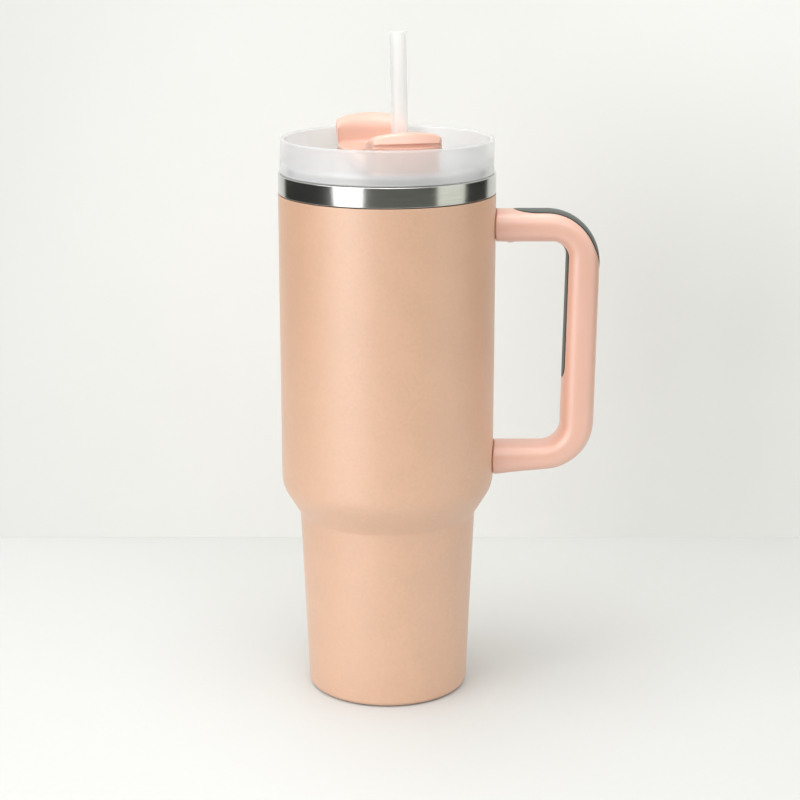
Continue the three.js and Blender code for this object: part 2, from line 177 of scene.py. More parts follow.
# ---------------------------------------------------------------- meshes


def grid_quads(rows: int, cols: int, wrap_rows: bool, wrap_cols: bool) -> Array:
    """Faces of a grid of points stored row by row.

    Args:
        rows: Number of rows.
        cols: Number of points in a row.
        wrap_rows: True where the last row joins the first.
        wrap_cols: True where each row is a ring.

    Returns:
        Four point numbers for each face.
    """
    r = np.arange(rows if wrap_rows else rows - 1)
    c = np.arange(cols if wrap_cols else cols - 1)
    r, c = np.meshgrid(r, c, indexing="ij")
    r2, c2 = (r + 1) % rows, (c + 1) % cols
    return np.stack([r * cols + c, r * cols + c2, r2 * cols + c2, r2 * cols + c], -1).reshape(-1, 4)


def volume(points: Array, faces: Sequence[Array]) -> float:
    """Signed volume inside closed faces: the sum of a . (b x c) / 6 over their triangles."""
    total = 0.0
    for block in faces:
        a = points[block[:, 0]]
        for k in range(1, block.shape[1] - 1):
            total += float(np.sum(a * np.cross(points[block[:, k]], points[block[:, k + 1]])))
    return total / 6


def mesh_piece(name: str, points: Array, faces: Sequence[Array], crease: float = 35.0) -> bpy.types.Object:
    """Puts closed faces into a new object, with its faces outwards and its edges shaded smooth.

    Args:
        name: The piece's name.
        points: Its points in millimetres, one row each.
        faces: Blocks of faces, each block with one number of corners.
        crease: Edges that bend by more than this many degrees stay sharp.

    Returns:
        The object, at the origin.
    """
    if volume(points, faces) < 0:
        faces = [block[:, ::-1] for block in faces]
    corners = np.concatenate([block.ravel() for block in faces]).astype(np.int32)
    sizes = np.concatenate([np.full(len(block), block.shape[1]) for block in faces])
    mesh = bpy.data.meshes.new(name)
    mesh.vertices.add(len(points))
    mesh.vertices.foreach_set("co", (points * MM).astype(np.float32).ravel())
    mesh.loops.add(len(corners))
    mesh.loops.foreach_set("vertex_index", corners)
    mesh.polygons.add(len(sizes))
    mesh.polygons.foreach_set("loop_start", (np.cumsum(sizes) - sizes).astype(np.int32))
    mesh.update(calc_edges=True)
    mesh.validate()
    mesh.shade_smooth()
    mesh.set_sharp_from_angle(angle=math.radians(crease))
    piece = bpy.data.objects.new(name, mesh)
    bpy.context.scene.collection.objects.link(piece)
    return piece


def turned_grid(profile: Array, sides: int) -> tuple[Array, list[Array]]:
    """Turns a profile about +Z: each of its points (r, z) becomes a ring (r cos t, r sin t, z).

    A profile that starts and ends on the axis gets one point at each pole. Any other closes on
    itself.

    Args:
        profile: The profile's points, as (radius, height).
        sides: Points in each ring.

    Returns:
        The points and the blocks of faces.
    """
    t = np.arange(sides) * 2 * math.pi / sides
    on_axis = profile[0, 0] < 1e-6 and profile[-1, 0] < 1e-6
    rings = profile[1:-1] if on_axis else profile
    r, z = rings[:, :1], rings[:, 1:]
    points = np.stack([r * np.cos(t), r * np.sin(t), z + 0 * t], -1).reshape(-1, 3)
    faces = [grid_quads(len(rings), sides, not on_axis, True)]
    if on_axis:
        count = len(points)
        poles = np.array([[0, 0, profile[0, 1]], [0, 0, profile[-1, 1]]])
        points = np.concatenate([points, poles])
        here, after = np.arange(sides), (np.arange(sides) + 1) % sides
        last = (len(rings) - 1) * sides
        faces.append(np.stack([np.full(sides, count), after, here], 1))
        faces.append(np.stack([np.full(sides, count + 1), last + here, last + after], 1))
    return points, faces


def turned(name: str, corners: Sequence[Corner], sides: int = 96, at: Sequence[float] = (0, 0),
           longest: float = 6.0, crease: float = 35.0, step: float = 9.0) -> bpy.types.Object:
    """A turned piece from corners (radius, height, rounding).

    Args:
        name: The piece's name.
        corners: Its half outline, up the outside and down the inside.
        sides: Points in each ring.
        at: Where its axis stands, in millimetres.
        longest: Longest face along the profile.
        crease: Edges that bend more stay sharp.
        step: Largest turn between two points of a rounding, in degrees.

    Returns:
        The object.
    """
    on_axis = corners[0][0] == 0 and corners[-1][0] == 0
    profile = densify(fillet(corners, step, not on_axis), longest, not on_axis)
    points, faces = turned_grid(profile, sides)
    return mesh_piece(name, points + np.array([*at, 0.0]), faces, crease)


def tube(name: str, rings: Array, crease: float = 50.0, whole_ends: bool = False) -> bpy.types.Object:
    """A skin over closed rings of points, with a fan or one whole face over each end.

    Args:
        name: The piece's name.
        rings: Points as (ring, point, xyz).
        crease: Edges that bend more stay sharp.
        whole_ends: One face over each end, for flat ends with hollows in their outline.

    Returns:
        The object.
    """
    count, per = rings.shape[:2]
    if whole_ends:
        ends = np.stack([np.arange(per)[::-1], (count - 1) * per + np.arange(per)])
        return mesh_piece(name, rings.reshape(-1, 3), [grid_quads(count, per, False, True), ends], crease)
    ends = np.stack([rings[0].mean(0), rings[-1].mean(0)])
    points = np.concatenate([rings.reshape(-1, 3), ends])
    here, after = np.arange(per), (np.arange(per) + 1) % per
    last = (count - 1) * per
    fans = np.concatenate([
        np.stack([np.full(per, count * per), after, here], 1),
        np.stack([np.full(per, count * per + 1), last + here, last + after], 1),
    ])
    return mesh_piece(name, points, [grid_quads(count, per, False, True), fans], crease)


def prism(name: str, outline: Array, levels: Sequence[tuple[float, float]]) -> bpy.types.Object:
    """A stack of one outline, drawn out along its own normals by a stated amount at each level.

    Args:
        name: The piece's name.
        outline: Points (x, y) of a closed outline, anticlockwise.
        levels: Pairs of height and how far the outline grows there.

    Returns:
        The object.
    """
    along = np.roll(outline, -1, axis=0) - np.roll(outline, 1, axis=0)
    normal = np.stack([along[:, 1], -along[:, 0]], 1)
    normal /= np.linalg.norm(normal, axis=1, keepdims=True)
    rings = [np.column_stack([outline + normal * grow, np.full(len(outline), z)]) for z, grow in levels]
    return tube(name, np.array(rings), 30, True)


def carve(piece: bpy.types.Object, cutters: Sequence[bpy.types.Object], crease: float = 32.0) -> None:
    """Cuts solids out of a piece for good, and removes them.

    Args:
        piece: The piece that is cut.
        cutters: The solids that are taken away.
        crease: Edges that bend more stay sharp.
    """
    for cutter in cutters:
        cut = piece.modifiers.new("cut", "BOOLEAN")
        cut.operation, cut.solver, cut.object = "DIFFERENCE", "MANIFOLD", cutter
    bpy.context.view_layer.update()
    done = bpy.data.meshes.new_from_object(piece.evaluated_get(bpy.context.evaluated_depsgraph_get()))
    piece.modifiers.clear()
    old, piece.data = piece.data, done
    bpy.data.meshes.remove(old)
    done.shade_smooth()
    done.set_sharp_from_angle(angle=math.radians(crease))
    for cutter in cutters:
        bpy.data.objects.remove(cutter)


def stadium(half_along: float, half_across: float, angle: float, at: Sequence[float]) -> Array:
    """Outline of a slot with round ends, turned by an angle in radians and moved to a place."""
    turn = np.linspace(-math.pi / 2, math.pi / 2, 17)
    end = np.stack([np.cos(turn), np.sin(turn)], 1) * half_across
    flat = np.concatenate([end + [half_along - half_across, 0], -end - [half_along - half_across, 0]])
    cos, sin = math.cos(angle), math.sin(angle)
    return flat @ np.array([[cos, sin], [-sin, cos]]) + np.array(at)


# ---------------------------------------------------------------- shader maths


class Value:
    """A shader socket that does arithmetic: each operator adds the Math node that it names."""

    def __init__(self, graph: "Graph", socket: bpy.types.NodeSocket) -> None:
        self.graph = graph
        self.socket = socket

    def math(self, operation: str, *others: "Value | float") -> "Value":
        """This socket and up to two others through one Math node."""
        inputs = dict(enumerate([self, *others]))
        return self.graph.node("ShaderNodeMath", {"operation": operation}, inputs)

    def __add__(self, other: "Value | float") -> "Value":
        """Sum."""
        return self.math("ADD", other)

    __radd__ = __add__

    def __mul__(self, other: "Value | float") -> "Value":
        """Product."""
        return self.math("MULTIPLY", other)

    __rmul__ = __mul__

    def __sub__(self, other: "Value | float") -> "Value":
        """Difference."""
        return self.math("SUBTRACT", other)

    def __rsub__(self, other: float) -> "Value":
        """Difference, with this socket taken away."""
        return self.graph.node("ShaderNodeMath", {"operation": "SUBTRACT"}, {0: other, 1: self})

    def ramp(self, low: float, high: float) -> "Value":
        """0 at low, 1 at high, smooth between them, and held outside."""
        settings = {"interpolation_type": "SMOOTHSTEP"}
        return self.graph.node("ShaderNodeMapRange", settings, {0: self, 1: low, 2: high, 3: 0.0, 4: 1.0})


class Graph:
    """A node tree that is filled by calls."""

    def __init__(self, tree: bpy.types.NodeTree) -> None:
        tree.nodes.clear()
        self.tree = tree

    def node(self, kind: str, settings: dict, inputs: dict, output: int | str = 0) -> Value:
        """Adds one node.

        Args:
            kind: The node's type.
            settings: Its properties, such as a Math node's operation, which are set first.
            inputs: Values or links of its sockets, by number or by name.
            output: The socket that is given back.

        Returns:
            That socket, or the first one where the node has no output.
        """
        made = self.tree.nodes.new(kind)
        for key, value in settings.items():
            setattr(made, key, value)
        for key, value in inputs.items():
            if isinstance(value, Value):
                self.tree.links.new(value.socket, made.inputs[key])
            else:
                made.inputs[key].default_value = value
        return Value(self, made.outputs[output]) if made.outputs else Value(self, made.inputs[0])

    def place(self) -> Value:
        """The piece's own coordinates, in metres."""
        return self.node("ShaderNodeTexCoord", {}, {}, "Object")

    def stretched(self, where: Value, scale: Sequence[float]) -> Value:
        """Coordinates scaled along each axis."""
        return self.node("ShaderNodeMapping", {}, {"Vector": where, "Scale": tuple(scale)})

    def noise(self, where: Value, scale: float, detail: float = 2.0, rough: float = 0.5) -> Value:
        """Fractal noise, about 0.5 on average, at so many cells to the metre."""
        inputs = {"Vector": where, "Scale": scale, "Detail": detail, "Roughness": rough}
        return self.node("ShaderNodeTexNoise", {}, inputs)

    def along(self, where: Value, axis: int) -> Value:
        """One coordinate out of three."""
        return self.node("ShaderNodeSeparateXYZ", {}, {0: where}, axis)

    def blend(self, factor: Value | float, a: Value | Colour, b: Value | Colour) -> Value:
        """Colour a where the factor is 0 and b where it is 1."""
        a, b = (end if isinstance(end, Value) else (*end, 1.0) for end in (a, b))
        return self.node("ShaderNodeMix", {"data_type": "RGBA"}, {0: factor, 6: a, 7: b}, 2)

    def bump(self, height: Value, depth: float, strength: float = 1.0, normal: Value | None = None) -> Value:
        """Surface normal over a height that spans so many metres."""
        inputs: dict = {"Height": height, "Distance": depth, "Strength": strength}
        if normal is not None:
            inputs["Normal"] = normal
        return self.node("ShaderNodeBump", {}, inputs)

    def surface(self, **inputs: "Value | float | Sequence[float]") -> Value:
        """The main shader, its sockets named with _ for each space."""
        return self.node("ShaderNodeBsdfPrincipled", {}, {k.replace("_", " "): v for k, v in inputs.items()})

    def finish(self, shader: Value, kind: str = "ShaderNodeOutputMaterial") -> None:
        """Sends the shader to the output."""
        self.node(kind, {}, {"Surface": shader})


# ---------------------------------------------------------------- finishes


@dataclass(frozen=True)
class Finish:
    """A material and the record slot that it stands for."""

    name: str
    slot: str
    colour: Colour

    def shader(self, g: Graph) -> Value:
        """The shader, worked out in the given graph."""
        raise NotImplementedError

    def material(self) -> bpy.types.Material:
        """The material, made once and then shared."""
        made = bpy.data.materials.get(self.name)
        if made is None:
            made = bpy.data.materials.new(self.name)
            made.use_nodes = True
            g = Graph(made.node_tree)
            g.finish(self.shader(g))
            made.diffuse_color = (*self.colour, 1.0)
        return made

    def shade(self, share: float) -> Colour:
        """The finish's colour, lighter or darker."""
        return tuple(min(1.0, c * share) for c in self.colour)


@dataclass(frozen=True)
class PowderCoat(Finish):
    """Matt powder coat: fine orange peel, faint mottling, and painted shade that darkens the edge round the
    foot, where it meets the table.
    """

    roughness: float = 0.5
    peel_cells: float = 620.0
    peel_depth: float = 0.00003
    grain_cells: float = 2600.0
    grain_depth: float = 0.000012
    mottle_cells: float = 55.0
    # height band of the painted shade at the foot, in metres
    painted_shade_from: float = 0.0002
    painted_shade_to: float = 0.0026

    def shader(self, g: Graph) -> Value:
        """Orange peel and grain in the normal, mottling in the colour and the roughness, and painted shade
        that darkens the colour at the foot.
        """
        at = g.place()
        peel = g.noise(at, self.peel_cells, 3, 0.55)
        grain = g.noise(at, self.grain_cells, 2, 0.6)
        mottle = g.noise(at, self.mottle_cells, 4, 0.6)
        # painted shade: 1 up to 0.2 mm above the table, fading to 0 at 2.6 mm up, where the foot meets the
        # table
        foot = 1 - g.along(at, 2).ramp(self.painted_shade_from, self.painted_shade_to)
        tone = (peel * 0.5 + mottle * 0.5).ramp(0.34, 0.66)
        colour = g.blend(tone, self.shade(0.955), self.shade(1.035))
        speck = grain.ramp(0.62, 0.74) * 0.35
        colour = g.blend(speck, colour, self.shade(1.12))
        # painted shade darkens the colour towards the table
        colour = g.blend(foot * 0.35, colour, self.shade(0.55))
        rough = self.roughness + (grain - 0.5) * 0.16 + (mottle - 0.5) * 0.06
        normal = g.bump(grain, self.grain_depth, 1.0, g.bump(peel, self.peel_depth, 1.0))
        return g.surface(Base_Color=colour, Roughness=rough, Normal=normal, Specular_IOR_Level=1.0,
                         IOR=1.75, Sheen_Weight=0.1, Sheen_Roughness=0.5, Coat_Weight=1.0,
                         Coat_Roughness=0.58, Coat_IOR=1.65)


@dataclass(frozen=True)
class BrushedSteel(Finish):
    """Stainless steel brushed round the axis: fine lines that follow height and radius."""

    roughness: float = 0.17
    line_depth: float = 0.000003

    def shader(self, g: Graph) -> Value:
        """Noise that is squeezed along height and radius and drawn out round the axis."""
        at = g.place()
        flat = g.node("ShaderNodeVectorMath", {"operation": "MULTIPLY"}, {0: at, 1: (1, 1, 0)})
        radius = g.node("ShaderNodeVectorMath", {"operation": "LENGTH"}, {0: flat}, "Value")
        x, y, z = (g.along(at, k) for k in range(3))
        lines_at = g.node("ShaderNodeCombineXYZ", {}, {0: x * 60 + radius * 2200, 1: y * 60, 2: z * 3600})
        lines = g.noise(lines_at, 1.0, 3, 0.65)
        broad_at = g.node("ShaderNodeCombineXYZ", {}, {0: x * 18 + radius * 300, 1: y * 18, 2: z * 420})
        broad = g.noise(broad_at, 1.0, 2)
        colour = g.blend(lines.ramp(0.3, 0.7), self.shade(0.92), self.shade(1.05))
        rough = self.roughness + (lines - 0.5) * 0.1 + (broad - 0.5) * 0.05
        return g.surface(Base_Color=colour, Roughness=rough, Metallic=1.0,
                         Normal=g.bump(lines, self.line_depth, 0.8))


@dataclass(frozen=True)
class SatinPlastic(Finish):
    """Moulded plastic with a satin spark finish and a little light under its skin."""

    roughness: float = 0.42
    under_skin: float = 0.12
    spark_cells: float = 2100.0
    spark_depth: float = 0.000008
    flow_cells: float = 30.0
    flow_stretch: tuple[float, float, float] = (1, 1, 0.35)

    def shader(self, g: Graph) -> Value:
        """Fine spark grain in the normal, slow flow marks in the colour and roughness."""
        at = g.place()
        spark = g.noise(at, self.spark_cells, 2, 0.5)
        flow = g.noise(g.stretched(at, self.flow_stretch), self.flow_cells, 3, 0.55)
        colour = g.blend(flow.ramp(0.3, 0.7), self.shade(0.97), self.shade(1.03))
        rough = self.roughness + (spark - 0.5) * 0.12 + (flow - 0.5) * 0.08
        return g.surface(Base_Color=colour, Roughness=rough, Normal=g.bump(spark, self.spark_depth, 0.9),
                         Subsurface_Weight=self.under_skin, Subsurface_Radius=(1.0, 0.45, 0.3),
                         Subsurface_Scale=0.0016, IOR=1.6, Specular_IOR_Level=1.0, Coat_Weight=1.0,
                         Coat_Roughness=0.5, Coat_IOR=1.6)


@dataclass(frozen=True)
class SoftGrip(Finish):
    """Soft grey rubber with a stippled face and a darker moulded rim."""

    rim: Colour = (0.03, 0.026, 0.022)
    roughness: float = 0.62
    stipple_cells: float = 1500.0
    stipple_depth: float = 0.00002

    def shader(self, g: Graph) -> Value:
        """Stipple in the normal; the rim attribute, 1 along the border, darkens the colour."""
        at = g.place()
        stipple = g.noise(at, self.stipple_cells, 2, 0.5)
        dust = g.noise(at, 120, 4, 0.6)
        edge = g.node("ShaderNodeAttribute", {"attribute_name": "rim"}, {}, "Fac")
        colour = g.blend(dust.ramp(0.35, 0.7), self.shade(0.93), self.shade(1.07))
        colour = g.blend(edge.ramp(0.25, 0.9), colour, self.rim)
        rough = self.roughness + (stipple - 0.5) * 0.2 + (dust - 0.5) * 0.12
        return g.surface(Base_Color=colour, Roughness=rough, Normal=g.bump(stipple, self.stipple_depth, 0.9),
                         Sheen_Weight=0.12, Sheen_Roughness=0.5)


@dataclass(frozen=True)
class Frosted(Finish):
    """Frosted see-through plastic: part of the light goes straight through, the rest is scattered."""

    passes: float = 0.35
    roughness: float = 0.42
    cover: float = 0.47
    gloss: float = 0.6
    deck_cover: float = 0.26
    deck_band: tuple[float, float] = (0.2545, 0.258)
    frost_cells: float = 1700.0
    frost_depth: float = 0.000004

    def shader(self, g: Graph) -> Value:
        """Fine frost in the normal and the roughness, flow marks in the colour, and a fuller deck."""
        at = g.place()
        frost = g.noise(at, self.frost_cells, 3, 0.6)
        flow = g.noise(at, 38, 3, 0.55)
        colour = g.blend(flow.ramp(0.3, 0.7), self.shade(0.975), self.shade(1.02))
        rough = self.roughness + (frost - 0.5) * 0.14 + (flow - 0.5) * 0.08
        deck = 1 - g.along(at, 2).ramp(*self.deck_band)
        fullness = self.cover + deck * self.deck_cover
        return g.surface(Base_Color=colour, Roughness=rough, Normal=g.bump(frost, self.frost_depth, 0.6),
                         Transmission_Weight=self.passes, IOR=1.46, Alpha=fullness,
                         Coat_Weight=self.gloss, Coat_Roughness=0.12)


@dataclass(frozen=True)
class Silicone(Finish):
    """Milky silicone rubber."""

    def shader(self, g: Graph) -> Value:
        """Soft, slightly blotched, with a fine matt skin."""
        at = g.place()
        skin = g.noise(at, 1300, 2)
        blotch = g.noise(at, 160, 3)
        colour = g.blend(blotch.ramp(0.3, 0.7), self.shade(0.95), self.shade(1.04))
        return g.surface(Base_Color=colour, Roughness=0.48 + (skin - 0.5) * 0.2,
                         Normal=g.bump(skin, 0.000012, 0.8), Subsurface_Weight=0.4,
                         Subsurface_Radius=(1.0, 0.95, 0.9), Subsurface_Scale=0.002)


@dataclass(frozen=True)
class PlainMetal(Finish):
    """Machined or sintered metal for fasteners and the parts in the vacuum gap."""

    roughness: float = 0.35
    metallic: float = 1.0
    cells: float = 900.0

    def shader(self, g: Graph) -> Value:
        """Fine machining grain and faint stains."""
        at = g.place()
        grain = g.noise(at, self.cells, 3, 0.6)
        stain = g.noise(at, 220, 3)
        colour = g.blend(stain.ramp(0.3, 0.75), self.shade(0.85), self.shade(1.1))
        return g.surface(Base_Color=colour, Roughness=self.roughness + (grain - 0.5) * 0.25,
                         Metallic=self.metallic, Normal=g.bump(grain, 0.00001, 0.8))


@dataclass(frozen=True)
class PaleFloor(Finish):
    """Plain pale table top."""

    def shader(self, g: Graph) -> Value:
        """Almost flat white, with a trace of texture."""
        at = g.place()
        fine = g.noise(at, 240, 3)
        colour = g.blend(fine.ramp(0.3, 0.7), self.shade(0.995), self.shade(1.005))
        return g.surface(Base_Color=colour, Roughness=0.55 + (fine - 0.5) * 0.1,
                         Normal=g.bump(fine, 0.00002, 0.3))


@dataclass(frozen=True)
class PaleBoard(Finish):
    """Pale board behind the tumbler, with painted shade on its left part and painted light in its upper right
    corner, which shows on its front face only and fades out at its edges.
    """

    # where and how strongly the board carries painted shade on its left part and painted light in its upper
    # right corner
    painted_shade_side: tuple[float, float] = (-0.3, -0.04)
    painted_shade_share: float = 0.84
    painted_light_side: tuple[float, float] = (0.0, 0.2)
    painted_light_top: tuple[float, float] = (0.12, 0.32)
    painted_light_share: float = 1.12
    left_edge: tuple[float, float] = (-0.3, -0.245)
    right_edge: tuple[float, float] = (0.27, 0.35)
    top_edge: tuple[float, float] = (0.36, 0.45)

    def shader(self, g: Graph) -> Value:
        """Faint cloudiness, painted shade on the left and painted light at the upper right, all on the front,
        and nothing at all from behind.
        """
        at = g.place()
        cloud = g.noise(at, 9, 3)
        colour = g.blend(cloud.ramp(0.3, 0.7), self.shade(0.99), self.shade(1.01))
        across, height = g.along(at, 0), g.along(at, 2)
        # painted shade: the left part of the board darker
        colour = g.blend(1 - across.ramp(*self.painted_shade_side), colour, self.shade(self.painted_shade_share))
        # painted light: the upper right corner of the board lighter
        corner = across.ramp(*self.painted_light_side) * height.ramp(*self.painted_light_top)
        colour = g.blend(corner, colour, self.shade(self.painted_light_share))
        front = g.surface(Base_Color=colour, Roughness=0.7)
        clear = g.node("ShaderNodeBsdfTransparent", {}, {})
        behind = g.node("ShaderNodeNewGeometry", {}, {}, "Backfacing")
        inside = across.ramp(*self.left_edge) * (1 - across.ramp(*self.right_edge))
        inside = inside * (1 - height.ramp(*self.top_edge))
        return g.node("ShaderNodeMixShader", {}, {0: 1 - inside * (1 - behind), 1: front, 2: clear})


COAT = PowderCoat("powder_coat_blush", "powder_coat", (0.65, 0.355, 0.203))
STEEL = BrushedSteel("steel_brushed", "brushed_steel", (0.62, 0.62, 0.60))
PEACH = SatinPlastic("plastic_peach", "peach_plastic", (0.79, 0.445, 0.335))
GRIP = SoftGrip("rubber_grey", "grey_grip", (0.085, 0.098, 0.086))
FROST = Frosted("plastic_frosted", "frosted_plastic", (0.88, 0.885, 0.895))
STRAW = Frosted("plastic_straw", "straw_plastic", (0.97, 0.97, 0.96), 0.45, 0.35, 0.34, 0.5, 0.0)
MILKY = Silicone("silicone_milky", "clear_silicone", (0.72, 0.70, 0.66))
FASTENER = PlainMetal("steel_fastener", "fastener_steel", (0.55, 0.55, 0.54), 0.3)
SINTERED = PlainMetal("metal_sintered", "seal_metal", (0.16, 0.15, 0.14), 0.7, 0.5, 1800)
FLOOR = PaleFloor("floor_pale", "", (0.665, 0.67, 0.66))
BOARD = PaleBoard("board_pale", "", (0.775, 0.78, 0.765))


def dress(piece: bpy.types.Object, finish: Finish, body: Body, *nodes: str) -> bpy.types.Object:
    """Gives a piece its finish, its body and the frame nodes that it stands for.

    Args:
        piece: The piece.
        finish: Its finish.
        body: The body it rides on.
        nodes: The frame nodes it stands for.

    Returns:
        The piece.
    """
    piece.data.materials.clear()
    piece.data.materials.append(finish.material())
    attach(piece, body.value)
    if nodes:
        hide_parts(*nodes)
    log.info("%s: %d faces, rides on %s", piece.name, len(piece.data.polygons), body.value)
    return piece


def dress_node(node: str, finish: Finish) -> None:
    """Gives a frame node that stays its finish."""
    data = frame["nodes"][node].data
    data.materials.clear()
    data.materials.append(finish.material())
    log.info("%s: kept from the frame", node)


# ---------------------------------------------------------------- the vessel


@dataclass
class Vessel:
    """The double steel wall, its rolled lip and its foot."""

    foot_r: float = 37.0
    lower_foot_r: float = 38.5
    lower_top_r: float = 42.0
    waist_z: float = 87.6
    waist_round: float = 3.0
    shoulder_z: float = 101.7
    shoulder_round: float = 16.0
    wall: float = 0.8
    neck_r: float = 47.4
    cup_foot_r: float = 35.0
    cup_waist_r: float = 37.3
    cup_r: float = 46.4
    cup_floor_z: float = 10.0
    ledge_z: float = 236.0
    bead_z: tuple[float, float] = (242.8, 239.4)
    lip_gap: float = 0.45
    sides: int = 256
    barrel_r: float = field(init=False)
    paint_top_z: float = field(init=False)
    rim_z: float = field(init=False)

    def __post_init__(self) -> None:
        """Reads the barrel, the paint's edge and the rim from the frame."""
        self.barrel_r = span("outer_shell")[1][1]
        self.paint_top_z = span("outer_shell")[1][2]
        self.rim_z = span("inner_liner")[1][2]

    def barrel_radius(self, height: Array) -> Array:
        """Outside radius of the painted wall at a height, read off its profile."""
        profile = fillet(self._outside(0))
        return np.interp(height, profile[:, 1], profile[:, 0])

    def _outside(self, inset: float) -> list[Corner]:
        """The painted wall's profile from the foot to the top, moved inwards by an inset."""
        lift = inset * 0.9
        return [
            (self.lower_foot_r - inset, 3.0, 0),
            (self.lower_top_r - inset, self.waist_z + lift, self.waist_round),
            (self.barrel_r - inset, self.shoulder_z + lift, self.shoulder_round),
            (self.barrel_r - inset, self.paint_top_z, 0),
        ]

    def painted_wall(self) -> bpy.types.Object:
        """Outer wall: the profile out of the foot's rounding, up over the shoulder and back inside."""
        inner = [(r, z, rounding) for r, z, rounding in reversed(self._outside(self.wall))]
        corners = [
            (self.foot_r - 0.9, 0.35, 0), (self.lower_foot_r - 0.12, 0.35, 2.1),
            *self._outside(0)[:-1], (self.barrel_r, self.paint_top_z, 0.18),
            (self.barrel_r - self.wall, self.paint_top_z, 0.12), *inner[1:-1],
            (self.lower_foot_r - self.wall, 3.4, 0), (self.foot_r - 0.9, 2.4, 0),
        ]
        return dress(turned("outer_wall", corners, self.sides, step=5), COAT, Body.VESSEL, "outer_shell")

    def steel_cup(self) -> bpy.types.Object:
        """Inner cup in one sheet: floor, wall, ledge, thread beads, and the lip rolled outwards."""
        w, neck, cup, ledge = self.wall, self.neck_r, self.cup_r, self.ledge_z
        lip_r, lip_low, floor = self.barrel_r - 0.1, self.paint_top_z + self.lip_gap, self.cup_floor_z
        beads: list[Corner] = []
        for middle in self.bead_z:
            beads += [(neck, middle + 1.1, 0.3), (neck - 0.5, middle, 0.6), (neck, middle - 1.1, 0.3)]
        corners = [
            (0, floor - w, 0), (self.cup_foot_r + w, floor - w, 6),
            (self.cup_waist_r + w, self.waist_z + 3, 4), (cup + w, self.shoulder_z + 3, 14),
            (cup + w, ledge, 0.3), (neck + w, ledge + 1, 0.3),
            (neck + w, self.rim_z - w, 0), (lip_r - w, self.rim_z - w, 0.3), (lip_r - w, lip_low, 0),
            (lip_r, lip_low, 0.25), (lip_r, self.rim_z, 0.4), (neck, self.rim_z, 0.8), *beads,
            (neck, ledge + 1, 0.4), (cup, ledge, 0.4), (cup, self.shoulder_z + 3.6, 14),
            (self.cup_waist_r, self.waist_z + 3.6, 4), (self.cup_foot_r, floor, 5.2), (0, floor, 0),
        ]
        return dress(turned("steel_cup", corners, self.sides, step=8), STEEL, Body.VESSEL, "inner_liner")

    def foot(self) -> None:
        """Spun base plate with its rolled edge, and the cover disc with a fine dished ring."""
        disc_r, disc_t = span("base_disc")[1][1], span("base_disc")[1][2]
        plate_r, top = span("outer_base")[1][1], span("outer_base")[1][2]
        plate = [
            (0, disc_t + 0.3, 0), (disc_r + 0.3, disc_t + 0.3, 0.2), (disc_r + 0.3, 0, 0.25),
            (plate_r - 5.0, 0, 1.5), (plate_r - 4.2, 0.45, 1.0), (plate_r - 3.4, 0, 1.2), (plate_r, 0, 1.1),
            (plate_r, top, 0.4), (plate_r - 1.2, top, 0.4), (plate_r - 1.2, disc_t + 1.5, 0.6),
            (0, disc_t + 1.5, 0),
        ]
        dress(turned("base_plate", plate, self.sides, longest=3, step=12), STEEL, Body.VESSEL, "outer_base")
        disc = [
            (0, 0.15, 0), (disc_r * 0.42, 0.15, 1), (disc_r * 0.46, 0, 1), (disc_r * 0.9, 0, 0.5),
            (disc_r * 0.92, 0.2, 0.3), (disc_r * 0.94, 0, 0.5), (disc_r, 0, 0.25), (disc_r, disc_t, 0.2),
            (0, disc_t, 0),
        ]
        dress(turned("base_cover", disc, 160, longest=2, step=15), STEEL, Body.VESSEL, "base_disc")
        for node in ("vacuum_seal", "getter"):
            dress_node(node, SINTERED)

    def build(self) -> None:
        """Makes every piece of the vessel."""
        self.painted_wall()
        self.steel_cup()
        self.foot()


# ---------------------------------------------------------------- the handle


@dataclass
class Inlay:
    """A soft inlay along one edge of the handle: half its width, against the length along that edge."""

    name: str
    node: str
    outer: bool
    start: float
    full: float
    fade: float
    end: float
    width: float
    swell: float = 1.0
    seat: float = 1.3
    gap: float = 0.34
    edge_round: float = 0.5

    def half_width(self, length: Array) -> Array:
        """Half width, measured across the handle.

        It rises as a quarter ellipse from start to full, swells slowly, and falls as a quarter
        ellipse from fade to end.
        """
        rise = np.sqrt(1 - (1 - np.clip((length - self.start) / (self.full - self.start), 0, 1)) ** 2)
        fall = np.sqrt(1 - (1 - np.clip((self.end - length) / (self.end - self.fade), 0, 1)) ** 2)
        grown = 1 + (self.swell - 1) * smoothstep(self.full, self.fade, length)
        return self.width * grown * rise * fall


